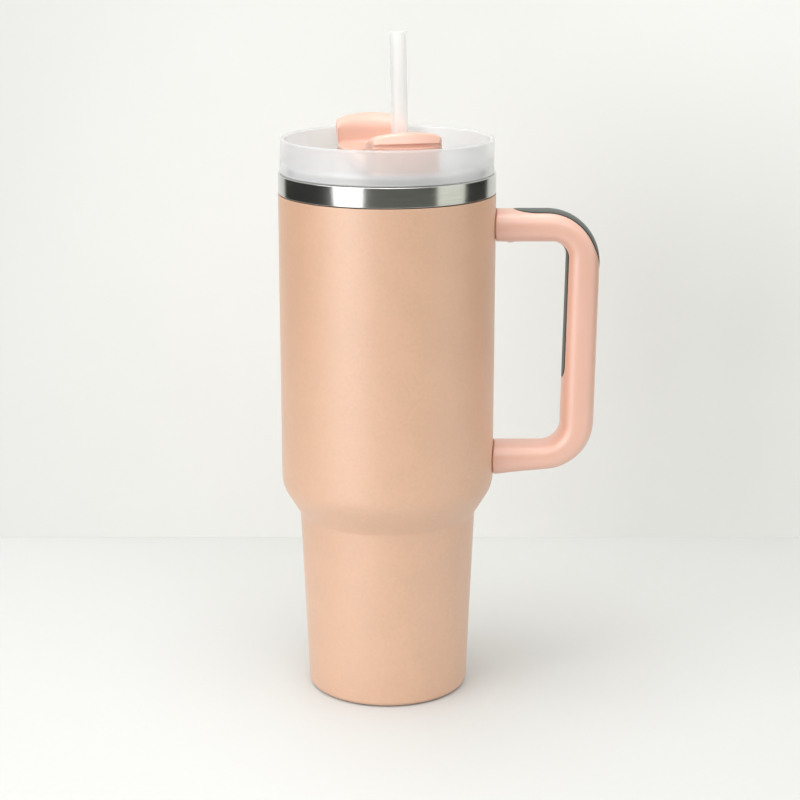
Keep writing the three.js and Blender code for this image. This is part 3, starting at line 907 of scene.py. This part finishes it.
@dataclass
class Handle:
    """The moulded handle: a superellipse section carried between an outer and an inner edge."""

    vessel: Vessel
    outer_round_top: float = 25.0
    outer_round_low: float = 24.0
    inner_round_top: float = 6.5
    inner_round_low: float = 9.5
    arm: float = 15.1
    grip: float = 15.8
    lean: float = 1.6
    gap_low_z: float = 121.7
    low_z_at_body: float = 105.6
    low_z_at_reach: float = 110.5
    half_depth: float = 10.0
    squareness: float = 2.5
    root_x: float = 48.0
    counts: tuple[int, ...] = (46, 40, 90, 40, 40)
    arm_gap: float = 0.3
    root_round: float = 0.8
    plug_nub: float = 0.55
    saddle_fade: float = 16.0
    least_width: float = 1.2
    rim_width: float = 0.55

    def __post_init__(self) -> None:
        """Lays out both edges, and the frame of every section between them."""
        reach, top = span("handle_body")[1][0], span("thumb_grip")[1][2]
        self.outer = self._edge([
            (self.root_x, top, 0), (reach, top, self.outer_round_top),
            (reach - self.lean, self.low_z_at_reach, self.outer_round_low),
            (self.root_x, self.low_z_at_body, 0),
        ])
        self.inner = self._edge([
            (self.root_x, top - self.arm, 0), (reach - self.grip, top - self.arm, self.inner_round_top),
            (reach - self.lean - self.grip, self.gap_low_z, self.inner_round_low),
            (self.root_x, self.gap_low_z, 0),
        ])
        self.middle = (self.outer + self.inner) / 2
        across = (self.outer - self.inner) / 2
        self.half_height = np.linalg.norm(across, axis=1)
        self.outward = across / self.half_height[:, None]
        self.inlays = [
            Inlay("thumb_inlay", "thumb_grip", True, 58.6, 70.0, 101.0, 117.0, 6.2, 1.2),
            Inlay("finger_inlay", "finger_grip", False, 81.5, 88.0, 140.0, 146.5, 5.6),
        ]

    def _edge(self, corners: Sequence[Corner]) -> Array:
        """An edge with the same number of points in each of its five stretches.

        Args:
            corners: Start, two rounded corners and end.

        Returns:
            Its points, as (x, z).
        """
        start, end = np.array(corners[0][:2]), np.array(corners[3][:2])
        arcs = fillet(corners, 1.0)[1:-1]
        first = fillet(corners[:3], 1.0)[1:-1]
        second = arcs[len(first):]
        stretches = [
            np.stack([start, first[0]]), first, np.stack([first[-1], second[0]]), second,
            np.stack([second[-1], end]),
        ]
        laid = []
        for stretch, count in zip(stretches, self.counts):
            length = np.concatenate([[0], np.cumsum(np.linalg.norm(np.diff(stretch, axis=0), axis=1))])
            wanted = np.linspace(0, length[-1], count, endpoint=False)
            laid.append(np.stack([np.interp(wanted, length, stretch[:, k]) for k in range(2)], 1))
        return np.concatenate([*laid, end[None]])

    def edge_length(self, outer: bool) -> Array:
        """Length along an edge at each section, counted from the axis along the straight arm."""
        edge = self.outer if outer else self.inner
        steps = np.linalg.norm(np.diff(edge, axis=0), axis=1)
        return np.concatenate([[0], np.cumsum(steps)]) + self.root_x

    def half_turn(self, width: Array) -> Array:
        """Section angle from an edge's middle line to a distance across the handle.

        A superellipse is b * sin(a) ** (2 / n) wide at the angle a from its top, so the distance w
        is where sin(a) is (w / b) ** (n / 2).
        """
        share = np.clip(width / self.half_depth, 0, 1)
        return np.arcsin(share ** (self.squareness / 2))

    def skin(self, angle: Array, sink: Array) -> Array:
        """Points on the handle's skin.

        The section is x = b * |cos t| ** (2 / n) across and y = h * |sin t| ** (2 / n) outwards,
        with their signs kept; sink moves a point inwards along the section's normal.

        Args:
            angle: Section angles in radians, one row for each section.
            sink: How far each point lies below the skin.

        Returns:
            Points as (section, angle, xyz).
        """
        n, b, h = self.squareness, self.half_depth, self.half_height[:, None]
        cos, sin = np.cos(angle), np.sin(angle)
        x = np.sign(cos) * np.abs(cos) ** (2 / n)
        y = np.sign(sin) * np.abs(sin) ** (2 / n)
        nx, ny = np.sign(x) * np.abs(x) ** (n - 1) / b, np.sign(y) * np.abs(y) ** (n - 1) / h
        size = np.hypot(nx, ny)
        across = b * x - sink * nx / size
        out = h * y - sink * ny / size
        where = self.middle[:, None, :] + self.outward[:, None, :] * out[..., None]
        return np.stack([where[..., 0], across, where[..., 1]], -1)

    def saddle(self, points: Array, clearance: float) -> Array:
        """Fits the roots of both arms to the barrel.

        A point's x grows or shrinks so that the handle's first section lies on the barrel, at
        x = sqrt(R^2 - y^2), and the change fades out over the first part of the arm.
        """
        radius = self.vessel.barrel_radius(points[..., 2]) + clearance
        wall = np.sqrt(np.maximum(radius**2 - points[..., 1] ** 2, 0))
        fade = 1 - smoothstep(0, self.saddle_fade, points[..., 0] - self.root_x)
        moved = points.copy()
        moved[..., 0] += (wall - self.root_x) * fade
        return moved

    def shell(self) -> bpy.types.Object:
        """The handle with a sunk seat under each inlay.

        Round each section the angles run: seat, its wall and lip, side, the other lip and wall, the
        other seat, and back. Where there is no inlay the seat's depth is 0 and the skin is plain.
        """
        least = math.radians(4)
        halves, depths = [], []
        for inlay in self.inlays:
            width = inlay.half_width(self.edge_length(inlay.outer))
            halves.append(np.maximum(self.half_turn(width), least)[:, None])
            depths.append((inlay.seat * smoothstep(0.9, 1.6, width))[:, None])
        up, down = math.pi / 2, 3 * math.pi / 2
        seat = np.linspace(-1, 1, 21)[None]
        wall_turn = np.array([0.0, 0.012, 0.03, 0.055])[None]
        wall_sink = np.array([0.75, 0.22, 0.05, 0.0])[None]
        side = (np.arange(1, 30) / 30)[None]
        angles, sinks = [], []
        for here, there, middle in ((0, 1, up), (1, 0, down)):
            half, depth, other = halves[here], depths[here], halves[there]
            angles += [middle + half * seat, middle + half + wall_turn]
            sinks += [depth + 0 * seat, depth * wall_sink]
            low = middle + half + wall_turn[0, -1]
            high = middle + math.pi - other - wall_turn[0, -1]
            angles += [low + (high - low) * side, middle + math.pi - other - wall_turn[:, ::-1]]
            sinks += [0 * low + 0 * side, depths[there] * wall_sink[:, ::-1]]
        points = self.skin(np.concatenate(angles, 1), np.concatenate(sinks, 1))
        points = self.saddle(points, self.arm_gap)
        rings = self._root_roundings(points)
        return dress(tube("handle_shell", rings, 40), PEACH, Body.VESSEL, "handle_body")

    def _root_roundings(self, points: Array) -> Array:
        """Adds rings that turn each arm's end inwards on a quarter circle, against the barrel."""
        r = self.root_round
        turns = np.linspace(0, math.pi / 2, 5)[1:]

        def rounded(end: Array, following: Array) -> list[Array]:
            """Rings from the end's inner face out to its skin."""
            centre = end.mean(0)
            inward = centre - end
            inward /= np.linalg.norm(inward, axis=1, keepdims=True)
            along = following - end
            along /= np.linalg.norm(along, axis=1, keepdims=True)
            return [
                end + inward * r * (1 - math.cos(t)) + along * r * (1 - math.sin(t)) for t in turns[::-1]
            ]

        first = rounded(points[0], points[1])
        last = rounded(points[-1], points[-2])
        return np.concatenate([np.array(first), points[1:-1], np.array(last[::-1])])

    def inlay_piece(self, inlay: Inlay) -> bpy.types.Object:
        """A soft inlay: a crowned top face between rounded borders, and a flat underside in its seat."""
        length = self.edge_length(inlay.outer)
        width = inlay.half_width(length)
        shown = np.flatnonzero(width > self.least_width)
        rows = slice(shown[0], shown[-1] + 1)
        middle = math.pi / 2 if inlay.outer else 3 * math.pi / 2
        half = self.half_turn(np.maximum(width - inlay.gap, 0.1))[:, None]
        u = np.sin(np.linspace(-1, 1, 41) * math.pi / 2)[None]
        to_border = width[:, None] * (1 - np.abs(u))
        r = inlay.edge_round
        drop = np.where(to_border < r, r - np.sqrt(np.maximum(r**2 - (r - to_border) ** 2, 0)), 0)
        top = self.skin(middle + half * u, drop - 0.05)
        under = self.skin(middle + half * u[:, ::-1] * 0.995, 0 * half + inlay.seat - 0.15 + 0 * u)
        rings = np.concatenate([top, under], 1)[rows]
        piece = tube(inlay.name, rings, 60)
        border = 1 - np.clip(to_border / self.rim_width, 0, 1)
        border = np.concatenate([border, 1 + 0 * border], 1)[rows]
        rim = piece.data.attributes.new("rim", "FLOAT", "POINT")
        rim.data.foreach_set("value", np.concatenate([border.ravel(), [1, 1]]).astype(np.float32))
        return dress(piece, GRIP, Body.VESSEL, inlay.node)

    def plugs(self) -> None:
        """Domed plugs over the two screws, and the metal parts inside the arms."""
        for end in ("upper", "lower"):
            low, high = span(f"{end}_screw_plug")
            centre, r = (low + high) / 2, (high[0] - low[0]) / 2
            skin = low[2] + self.plug_nub
            corners = [
                (0, low[2], 0), (r * 0.5, low[2], 0.4), (r * 0.62, skin, 0.3), (r - 0.1, skin, 0.2),
                (r - 0.1, high[2], 0.2), (0, high[2], 0),
            ]
            plug = turned(f"{end}_plug", corners, 64, centre[:2], longest=1, step=12)
            dress(plug, PEACH, Body.VESSEL, f"{end}_screw_plug")
            dress_node(f"{end}_bracket", STEEL)
            dress_node(f"{end}_screw", FASTENER)

    def build(self) -> None:
        """Makes every piece of the handle."""
        self.shell()
        for inlay in self.inlays:
            self.inlay_piece(inlay)
        self.plugs()


# ---------------------------------------------------------------- the lid


@dataclass
class Lid:
    """The frosted lid: grip ring, deck and threaded skirt in one moulding, with its soft parts."""

    bore_r: float = 47.2
    deck_top_z: float = 253.6
    deck_t: float = 2.2
    skirt_r: float = 45.9
    skirt_t: float = 2.3
    rib: float = 0.6
    thread_pitch: float = 3.4
    rim_round: float = 1.15
    straw_hole_r: float = 6.3
    vent_hole_r: float = 2.9
    pin_hole_r: float = 2.3
    sip_r: float = 34.0
    sip_half: tuple[float, float] = (8.0, 4.5)
    cover_angle: float = math.radians(13.3)
    vent_at: tuple[float, float] = (-19.0, 8.0)
    sides: int = 256

    def __post_init__(self) -> None:
        """Reads the ring's size and the straw's place from the frame."""
        low, high = span("lid_body")
        self.ring_r, self.top_z, self.skirt_end_z = high[1], high[2], low[2]
        self.flange_z = span("inner_liner")[1][2] + 0.3
        self.straw_at = joint("straw_slide")[0][:2]

    def moulding(self) -> bpy.types.Object:
        """The turned lid, with its straw hole, sip opening, vent and pin hole cut through."""
        ribs: list[Corner] = []
        for k in (0.5, 1.5):
            r, z = self.skirt_r, self.skirt_end_z + 1.4 + self.thread_pitch * k
            ribs += [(r, z - 1.1, 0.3), (r + self.rib, z, 0.5), (r, z + 1.1, 0.3)]
        deck_low, inside = self.deck_top_z - self.deck_t, self.skirt_r - self.skirt_t
        corners = [
            (0, deck_low, 0), (inside, deck_low, 1.2), (inside, self.skirt_end_z, 0.5),
            (self.skirt_r, self.skirt_end_z, 0.7), *ribs, (self.skirt_r, self.flange_z, 0.3),
            (self.ring_r, self.flange_z, 0.6), (self.ring_r, self.top_z, self.rim_round),
            (self.bore_r, self.top_z, self.rim_round), (self.bore_r, self.deck_top_z, 1.6),
            (0, self.deck_top_z, 0),
        ]
        lid = turned("lid_moulding", corners, self.sides, longest=5, step=10)
        low, top = deck_low, self.deck_top_z
        levels = [(low - 4, 0), (top - 0.5, 0), (top - 0.2, 0.12), (top, 0.5), (top + 1, 1.5)]
        carve(lid, [
            prism("sip_cut", self.sip_outline(0), levels),
            self._round_cut("straw_cut", self.straw_hole_r, self.straw_at),
            self._round_cut("vent_cut", self.vent_hole_r, self.vent_at),
            self._round_cut("pin_cut", self.pin_hole_r, (0, 0)),
        ])
        return dress(lid, FROST, Body.LID, "lid_body")

    def sip_outline(self, more: float) -> Array:
        """Outline of the sip opening under the front tab, grown by so much."""
        angle = self.cover_angle - math.pi / 2
        along, across = self.sip_half
        at = (self.sip_r * math.cos(angle), self.sip_r * math.sin(angle))
        return stadium(along + more, across + more, self.cover_angle, at)

    def _round_cut(self, name: str, r: float, at: Sequence[float]) -> bpy.types.Object:
        """A drum that cuts a round hole through the deck."""
        low, high = self.deck_top_z - self.deck_t - 4, self.deck_top_z + 4
        return turned(name, [(0, low, 0), (r, low, 0), (r, high, 0), (0, high, 0)], 64, at, 40)

    def soft_parts(self) -> None:
        """Gasket with two lips, straw grommet with its flange, and the vent's slit valve."""
        inner, low, outer, high = self.skirt_r + 0.3, *self._band("lid_gasket")
        gasket = [
            (inner, low, 0.3), (outer, low + 0.5, 0.35), (outer - 0.35, (low + high) / 2, 0.3),
            (outer, high - 0.5, 0.35), (inner, high, 0.3),
        ]
        seal = turned("lid_seal_ring", gasket, self.sides, longest=1, step=15)
        dress(seal, MILKY, Body.GASKET, "lid_gasket")
        top, deck_low = self.deck_top_z, self.deck_top_z - self.deck_t - 0.3
        grommet = [
            (4.5, deck_low - 1, 0.3), (7.4, deck_low - 1, 0.4), (7.4, deck_low, 0.3), (6, deck_low, 0),
            (6, top, 0.3), (4.5, top, 0.4),
        ]
        dress(turned("grommet", grommet, 96, self.straw_at, 1, step=15), MILKY, Body.LID, "straw_grommet")
        valve = [
            (0, deck_low - 1, 0), (4, deck_low - 1, 0.4), (4, deck_low, 0.3), (2.6, deck_low, 0),
            (2.6, top + 0.8, 0.5), (1.2, top + 0.8, 0.2), (0.9, top + 0.2, 0.2), (0, top + 0.2, 0),
        ]
        dress(turned("air_valve", valve, 64, self.vent_at, 1, step=15), MILKY, Body.LID, "vent_valve")

    @staticmethod
    def _band(node: str) -> tuple[float, float, float]:
        """Lowest height, outer radius and highest height of a round node."""
        low, high = span(node)
        return low[2], high[1], high[2]

    def build(self) -> None:
        """Makes every piece of the lid."""
        self.moulding()
        self.soft_parts()


# ---------------------------------------------------------------- the turning cover


@dataclass
class Cover:
    """The cover bar with a raised tab at each end, its pin, clip and sealing pad."""

    lid: Lid
    half_width: float = 16.9
    outer_r: float = 44.5
    ridge_r: float = 41.4
    ridge_round: float = 2.6
    fold_round: float = 7.0
    inner_r: float = 34.0
    inner_top_z: float = 269.6
    lip_z: float = 268.6
    groove: tuple[float, float] = (1.5, 1.0)
    corner_round: float = 6.0
    arch_rise: float = 4.4
    side_round: float = 1.9
    bar_round: float = 1.1
    corner_pull: float = 0.4
    flat_to: float = 20.0
    pad_border: float = 2.0
    slot_half: float = 5.5
    slot_sweep: float = math.radians(182)
    stations: int = 61

    def __post_init__(self) -> None:
        """Reads the cover's heights from the frame."""
        low, high = span("rotating_cover")
        self.low_z, self.ridge_z = low[2], high[2]
        self.bar_z = span("cover_pivot_pin")[1][2] - 1.4

    def _half_profile(self) -> Array:
        """Half of the bar's long section from its middle to one end, as (distance, height, arch share).

        The arch share is 0 on the bar and 1 on the tab above it, so that only the tab is arched.
        """
        lip, peak = self.outer_r + 0.45, self.ridge_z + 0.55 * self.ridge_round
        deep, tall = self.groove
        corners = [
            (0, self.bar_z, 0), (self.inner_r, self.bar_z, 2.0),
            (self.inner_r + 0.6, self.inner_top_z, self.fold_round),
            (self.ridge_r, peak, self.ridge_round), (self.outer_r, self.lip_z + 0.5, 0.5),
            (self.outer_r - deep, self.lip_z + 0.2, 0.3), (self.outer_r - deep, self.lip_z - tall, 0.3),
            (lip, self.lip_z - tall - 0.2, 0.3), (lip, self.low_z, 0.8), (0, self.low_z, 0),
        ]
        return densify(fillet(corners, 8.0), 1.2)

    def bar(self) -> bpy.types.Object:
        """The bar and its tabs as one skin.

        The long section is drawn at many stations across the width w. There the tab's height above
        the lip shrinks so that its ridge falls by rise * (1 - sqrt(1 - (x / w)^2)), the ends follow
        the circle sqrt(R^2 - x^2), close to each side the section shrinks on a quarter ellipse, more
        on the tabs than on the bar, and close to each end the stations draw together, so that the
        corners are round from above.
        """
        half = self._half_profile()
        ring = np.concatenate([half, (half * [-1, 1])[::-1][1:-1]])
        w, r = self.half_width, self.side_round
        inner = np.linspace(-1, 1, self.stations) * (w - r)
        turn = np.linspace(0, math.pi / 2, 10)[1:]
        x = np.concatenate([-(w - r) - r * np.sin(turn)[::-1], inner, (w - r) + r * np.sin(turn)])
        share = np.concatenate([(1 - np.cos(turn))[::-1], 0 * inner, 1 - np.cos(turn)])[:, None]
        y, z = ring[:, 0][None], ring[:, 1][None]
        fall = self.arch_rise * (1 - np.sqrt(1 - (x / (w + 0.4)) ** 2))[:, None]
        height = z - np.maximum(z - self.lip_z, 0) * fall / (self.ridge_z - self.lip_z)
        follow = np.sqrt((self.outer_r + 0.45) ** 2 - x**2)[:, None] - (self.outer_r + 0.45)
        reach = y + np.sign(y) * follow * smoothstep(self.flat_to, self.inner_r, np.abs(y))
        middle_z = (self.low_z + self.bar_z) / 2
        on_tab = smoothstep(self.inner_r - 3, self.ridge_r, np.abs(y)) * smoothstep(self.bar_z, self.lip_z, z)
        shrink = share * (self.bar_round + (r - self.bar_round) * on_tab)
        height = height - np.sign(height - middle_z) * shrink
        reach = reach - np.sign(y) * shrink * smoothstep(self.flat_to, self.inner_r + 6, np.abs(y))
        past = np.clip((np.abs(y) - (self.outer_r + 0.45 - self.corner_round)) / self.corner_round, 0, 1)
        pulled = self.corner_round * self.corner_pull * (1 - np.sqrt(1 - past**2))
        wide = x[:, None] * (1 - pulled / w)
        angle = self.lid.cover_angle
        points = np.stack([
            wide * math.cos(angle) - reach * math.sin(angle),
            wide * math.sin(angle) + reach * math.cos(angle), height], -1)
        bar = tube("cover_bar", points, 40, True)
        pad = span("sip_seal_pad")
        pocket = self.lid.sip_outline(self.pad_border + 0.3)
        top, hole = self.bar_z, self.lid.pin_hole_r
        below, above = self.low_z - 10, self.ridge_z + 5
        drum = [(0, below, 0), (hole, below, 0), (hole, above, 0), (0, above, 0)]
        levels = [(self.low_z - 5, 0), (top - 0.7, 0), (top - 0.3, 0.16), (top, 0.6), (top + 1, 1.6)]
        carve(bar, [
            prism("slot_cut", self._slot_outline(), levels),
            prism("pocket_cut", pocket, [(self.low_z - 3, 0), (pad[1][2] + 0.3, 0)]),
            turned("pin_cut", drum, 48, longest=50),
        ])
        return dress(bar, PEACH, Body.COVER, "rotating_cover")

    def _slot_outline(self) -> Array:
        """Arc slot about the axis: an arc on each side of the straw's circle, and round ends."""
        x, y = self.lid.straw_at
        r, start = math.hypot(x, y), math.atan2(y, x)
        sweep = start - np.linspace(0, self.slot_sweep, 60)
        cap = np.linspace(0, math.pi, 14)[1:-1]

        def ring(radius: float | Array, angle: Array) -> Array:
            """Points on a circle about the axis."""
            return np.stack([radius * np.cos(angle), radius * np.sin(angle)], 1)

        def end(angle: float, turns: Array) -> Array:
            """Points of a round end about the middle of the slot."""
            return ring(np.array([r]), np.array([angle])) + ring(self.slot_half, angle + turns)
        outline = np.concatenate([
            ring(r - self.slot_half, sweep), end(sweep[-1], math.pi + cap),
            ring(r + self.slot_half, sweep[::-1]), end(sweep[0], cap),
        ])
        area = np.sum(outline[:, 0] * np.roll(outline[:, 1], -1) - outline[:, 1] * np.roll(outline[:, 0], -1))
        return outline if area > 0 else outline[::-1]

    def small_parts(self) -> None:
        """Pin with a domed, slotted head, its clip, and the pad under the front tab."""
        low, high = span("cover_pivot_pin")
        foot, top = low[2], high[2]
        pin = [
            (0, foot, 0), (2, foot, 0.4), (2, foot + 1, 0.1), (1.4, foot + 1, 0), (1.4, foot + 2.4, 0),
            (2, foot + 2.4, 0.1), (2, self.bar_z + 0.3, 0), (3.6, self.bar_z + 0.3, 0.2),
            (3.6, top - 0.25, 0.4), (1.6, top, 1), (1.3, top - 0.5, 0.2), (0, top - 0.5, 0),
        ]
        dress(turned("pivot_pin", pin, 96, longest=1, step=15), FASTENER, Body.COVER, "cover_pivot_pin")
        low, high = (corner[2] for corner in span("pivot_clip"))
        clip = [(1.7, low, 0.1), (4.4, low, 0.2), (4.4, high, 0.2), (1.7, high, 0.1)]
        dress(turned("pin_clip", clip, 72, longest=1, step=20), FASTENER, Body.COVER, "pivot_clip")
        pad_low, pad_high = span("sip_seal_pad")
        levels = [
            (pad_low[2], -0.5), (pad_low[2] + 0.15, -0.15), (pad_low[2] + 0.5, 0), (pad_high[2] - 0.4, 0),
            (pad_high[2], -0.4),
        ]
        pad = prism("sip_pad", self.lid.sip_outline(self.pad_border), levels)
        dress(pad, MILKY, Body.COVER, "sip_seal_pad")

    def build(self) -> None:
        """Makes every piece of the cover."""
        self.bar()
        self.small_parts()


# ---------------------------------------------------------------- the straw


@dataclass
class Straw:
    """The frosted straw, leaning a little, with its stopper ring."""

    outer_r: float = 3.9
    bore_r: float = 3.2
    rim_round: float = 0.32

    def _lean(self, piece: bpy.types.Object) -> bpy.types.Object:
        """Stands a piece that was drawn about +Z on the straw's own line.

        A point (x, y, s) goes to the deck point plus x across, y across and s along the line.
        """
        point, axis = joint("straw_slide")
        across = np.array([axis[2], 0, -axis[0]])
        across /= np.linalg.norm(across)
        third = np.cross(axis, across)
        mesh = piece.data
        flat = np.empty(len(mesh.vertices) * 3, np.float32)
        mesh.vertices.foreach_get("co", flat)
        local = flat.reshape(-1, 3)
        placed = point * MM + local[:, :1] * across + local[:, 1:2] * third + local[:, 2:] * axis
        mesh.vertices.foreach_set("co", placed.astype(np.float32).ravel())
        mesh.update()
        return piece

    def build(self) -> None:
        """Makes the tube and the stopper."""
        point, axis = joint("straw_slide")
        low, high = span("straw")
        foot, tip = (low[2] - point[2]) / axis[2], (high[2] - point[2]) / axis[2]
        tube_corners = [
            (self.outer_r, foot, self.rim_round), (self.outer_r, tip, self.rim_round),
            (self.bore_r, tip, self.rim_round), (self.bore_r, foot, self.rim_round),
        ]
        straw = self._lean(turned("straw_tube", tube_corners, 96, longest=8, step=15))
        dress(straw, STRAW, Body.STRAW, "straw")
        ring_low, ring_high = span("straw_stopper")
        start, end = (ring_low[2] - point[2]) / axis[2], (ring_high[2] - point[2]) / axis[2]
        ring_corners = [
            (self.outer_r + 0.1, start + 0.1, 0.3), (5.7, start + 1.1, 0.8), (5.7, end - 1.1, 0.8),
            (self.outer_r + 0.1, end - 0.1, 0.3),
        ]
        ring = self._lean(turned("straw_ring", ring_corners, 80, longest=1, step=15))
        dress(ring, MILKY, Body.STRAW, "straw_stopper")


# ---------------------------------------------------------------- the studio


@dataclass(frozen=True)
class Lamp:
    """An area lamp: its place, its width and height, and the point it faces in metres; power in watts."""

    name: str
    at: tuple[float, float, float]
    size: tuple[float, float]
    power: float
    colour: Colour = (1, 1, 1)
    aim: tuple[float, float, float] = (0, 0, 0.2)

    def build(self) -> None:
        """Hangs the lamp, turned about +Z and then tilted, so that it faces its point."""
        data = bpy.data.lights.new(self.name, "AREA")
        data.shape, data.size, data.size_y = "RECTANGLE", *self.size
        data.energy, data.color = self.power, self.colour
        lamp = bpy.data.objects.new(self.name, data)
        way = np.array(self.aim, float) - np.array(self.at, float)
        turn = math.atan2(way[0], -way[1])
        tilt = math.atan2(-way[2], math.hypot(way[0], way[1]))
        lamp.location = self.at
        lamp.rotation_euler = (math.pi / 2 - tilt, 0, math.pi + turn)
        lamp.visible_camera = False
        bpy.context.scene.collection.objects.link(lamp)


@dataclass
class Studio:
    """Camera, pale table, pale surroundings and soft lights."""

    camera_at: tuple[float, float, float] = (0.006, -0.898, 0.379)
    pitch: float = math.radians(75.193)
    lens: float = 87.57
    board_y: float = 0.212
    board_x: tuple[float, float] = (-0.30, 0.35)
    board_top: float = 0.45
    table_half: float = 0.62
    room: float = 0.93
    pale_seen: Colour = (0.86, 0.86, 0.83)
    pale_high: Colour = (0.92, 0.92, 0.9)
    low_front: Colour = (0.16, 0.165, 0.145)
    low_back: Colour = (0.045, 0.047, 0.042)
    lamps: tuple[Lamp, ...] = (
        Lamp("window_left", (-0.972, -1.142, 0.4), (0.86, 1.1), 9.3),
        Lamp("window_right", (1.32, -0.46, 0.3), (0.9, 0.9), 2.4, (0.98, 1, 0.9)),
        Lamp("skylight_left", (-1.15, -0.55, 1.0), (0.9, 0.7), 4.6, (0.97, 0.99, 1)),
        Lamp("skylight_front", (0.4, -1.3, 1.2), (1.0, 0.7), 4.0, (0.97, 0.99, 1)),
        Lamp("overhead", (-0.1, -0.1, 1.3), (0.7, 0.6), 5.0, aim=(0, 0, 0)),
    )

    def camera(self) -> None:
        """The camera, level from side to side and looking a little down."""
        data = bpy.data.cameras.new("camera")
        data.lens, data.sensor_width = self.lens, 36.0
        camera = bpy.data.objects.new("camera", data)
        camera.location, camera.rotation_euler = self.camera_at, (self.pitch, 0, 0)
        bpy.context.scene.collection.objects.link(camera)
        bpy.context.scene.camera = camera

    def table(self) -> None:
        """A thin slab that the tumbler stands on."""
        half = self.table_half / MM
        outline = densify(np.array([[-half, -half], [half, -half], [half, half], [-half, half]]), 200, True)
        slab = prism("table", outline, [(-12.0, -1.0), (-11.0, 0), (-0.8, 0), (-0.25, -0.25), (0, -0.8)])
        slab.data.materials.append(FLOOR.material())

    def board(self) -> None:
        """An upright sheet behind the tumbler: a grid over x and z that faces the viewer."""
        x, z = np.meshgrid(np.linspace(*self.board_x, 12), np.linspace(0.0003, self.board_top, 10))
        points = np.stack([x, self.board_y + 0 * x, z], -1).reshape(-1, 3)
        mesh = bpy.data.meshes.new("board")
        mesh.from_pydata(points.tolist(), [], grid_quads(10, 12, False, False).tolist())
        mesh.materials.append(BOARD.material())
        sheet = bpy.data.objects.new("board", mesh)
        bpy.context.scene.collection.objects.link(sheet)

    def surroundings(self) -> None:
        """A room that is pale above and dark below, and pale wherever it is looked at."""
        world = bpy.data.worlds.new("room")
        bpy.context.scene.world = world
        world.use_nodes = True
        g = Graph(world.node_tree)
        height = g.along(g.place(), 2)
        low = g.blend(g.along(g.place(), 1).ramp(-0.95, -0.2), self.low_front, self.low_back)
        lit = g.blend(height.ramp(0.05, 0.4), low, self.pale_high)
        seen = g.node("ShaderNodeLightPath", {}, {}, "Is Camera Ray")
        through = g.node("ShaderNodeLightPath", {}, {}, "Is Transmission Ray")
        colour = g.blend((seen + through).math("MINIMUM", 1.0), lit, self.pale_seen)
        background = g.node("ShaderNodeBackground", {}, {"Color": colour, "Strength": self.room})
        g.finish(background, "ShaderNodeOutputWorld")

    def build(self) -> None:
        """Sets up everything round the tumbler."""
        bpy.context.scene.view_settings.view_transform = "Standard"
        self.camera()
        self.table()
        self.board()
        self.surroundings()
        for lamp in self.lamps:
            lamp.build()


# ---------------------------------------------------------------- everything


def main() -> None:
    """Builds the tumbler from the foot to the straw, then the studio round it."""
    logging.basicConfig(level=logging.INFO, format="%(name)s %(message)s")
    vessel = Vessel()
    vessel.build()
    Handle(vessel).build()
    lid = Lid()
    lid.build()
    Cover(lid).build()
    Straw().build()
    Studio().build()


if __name__ == "__main__":
    main()
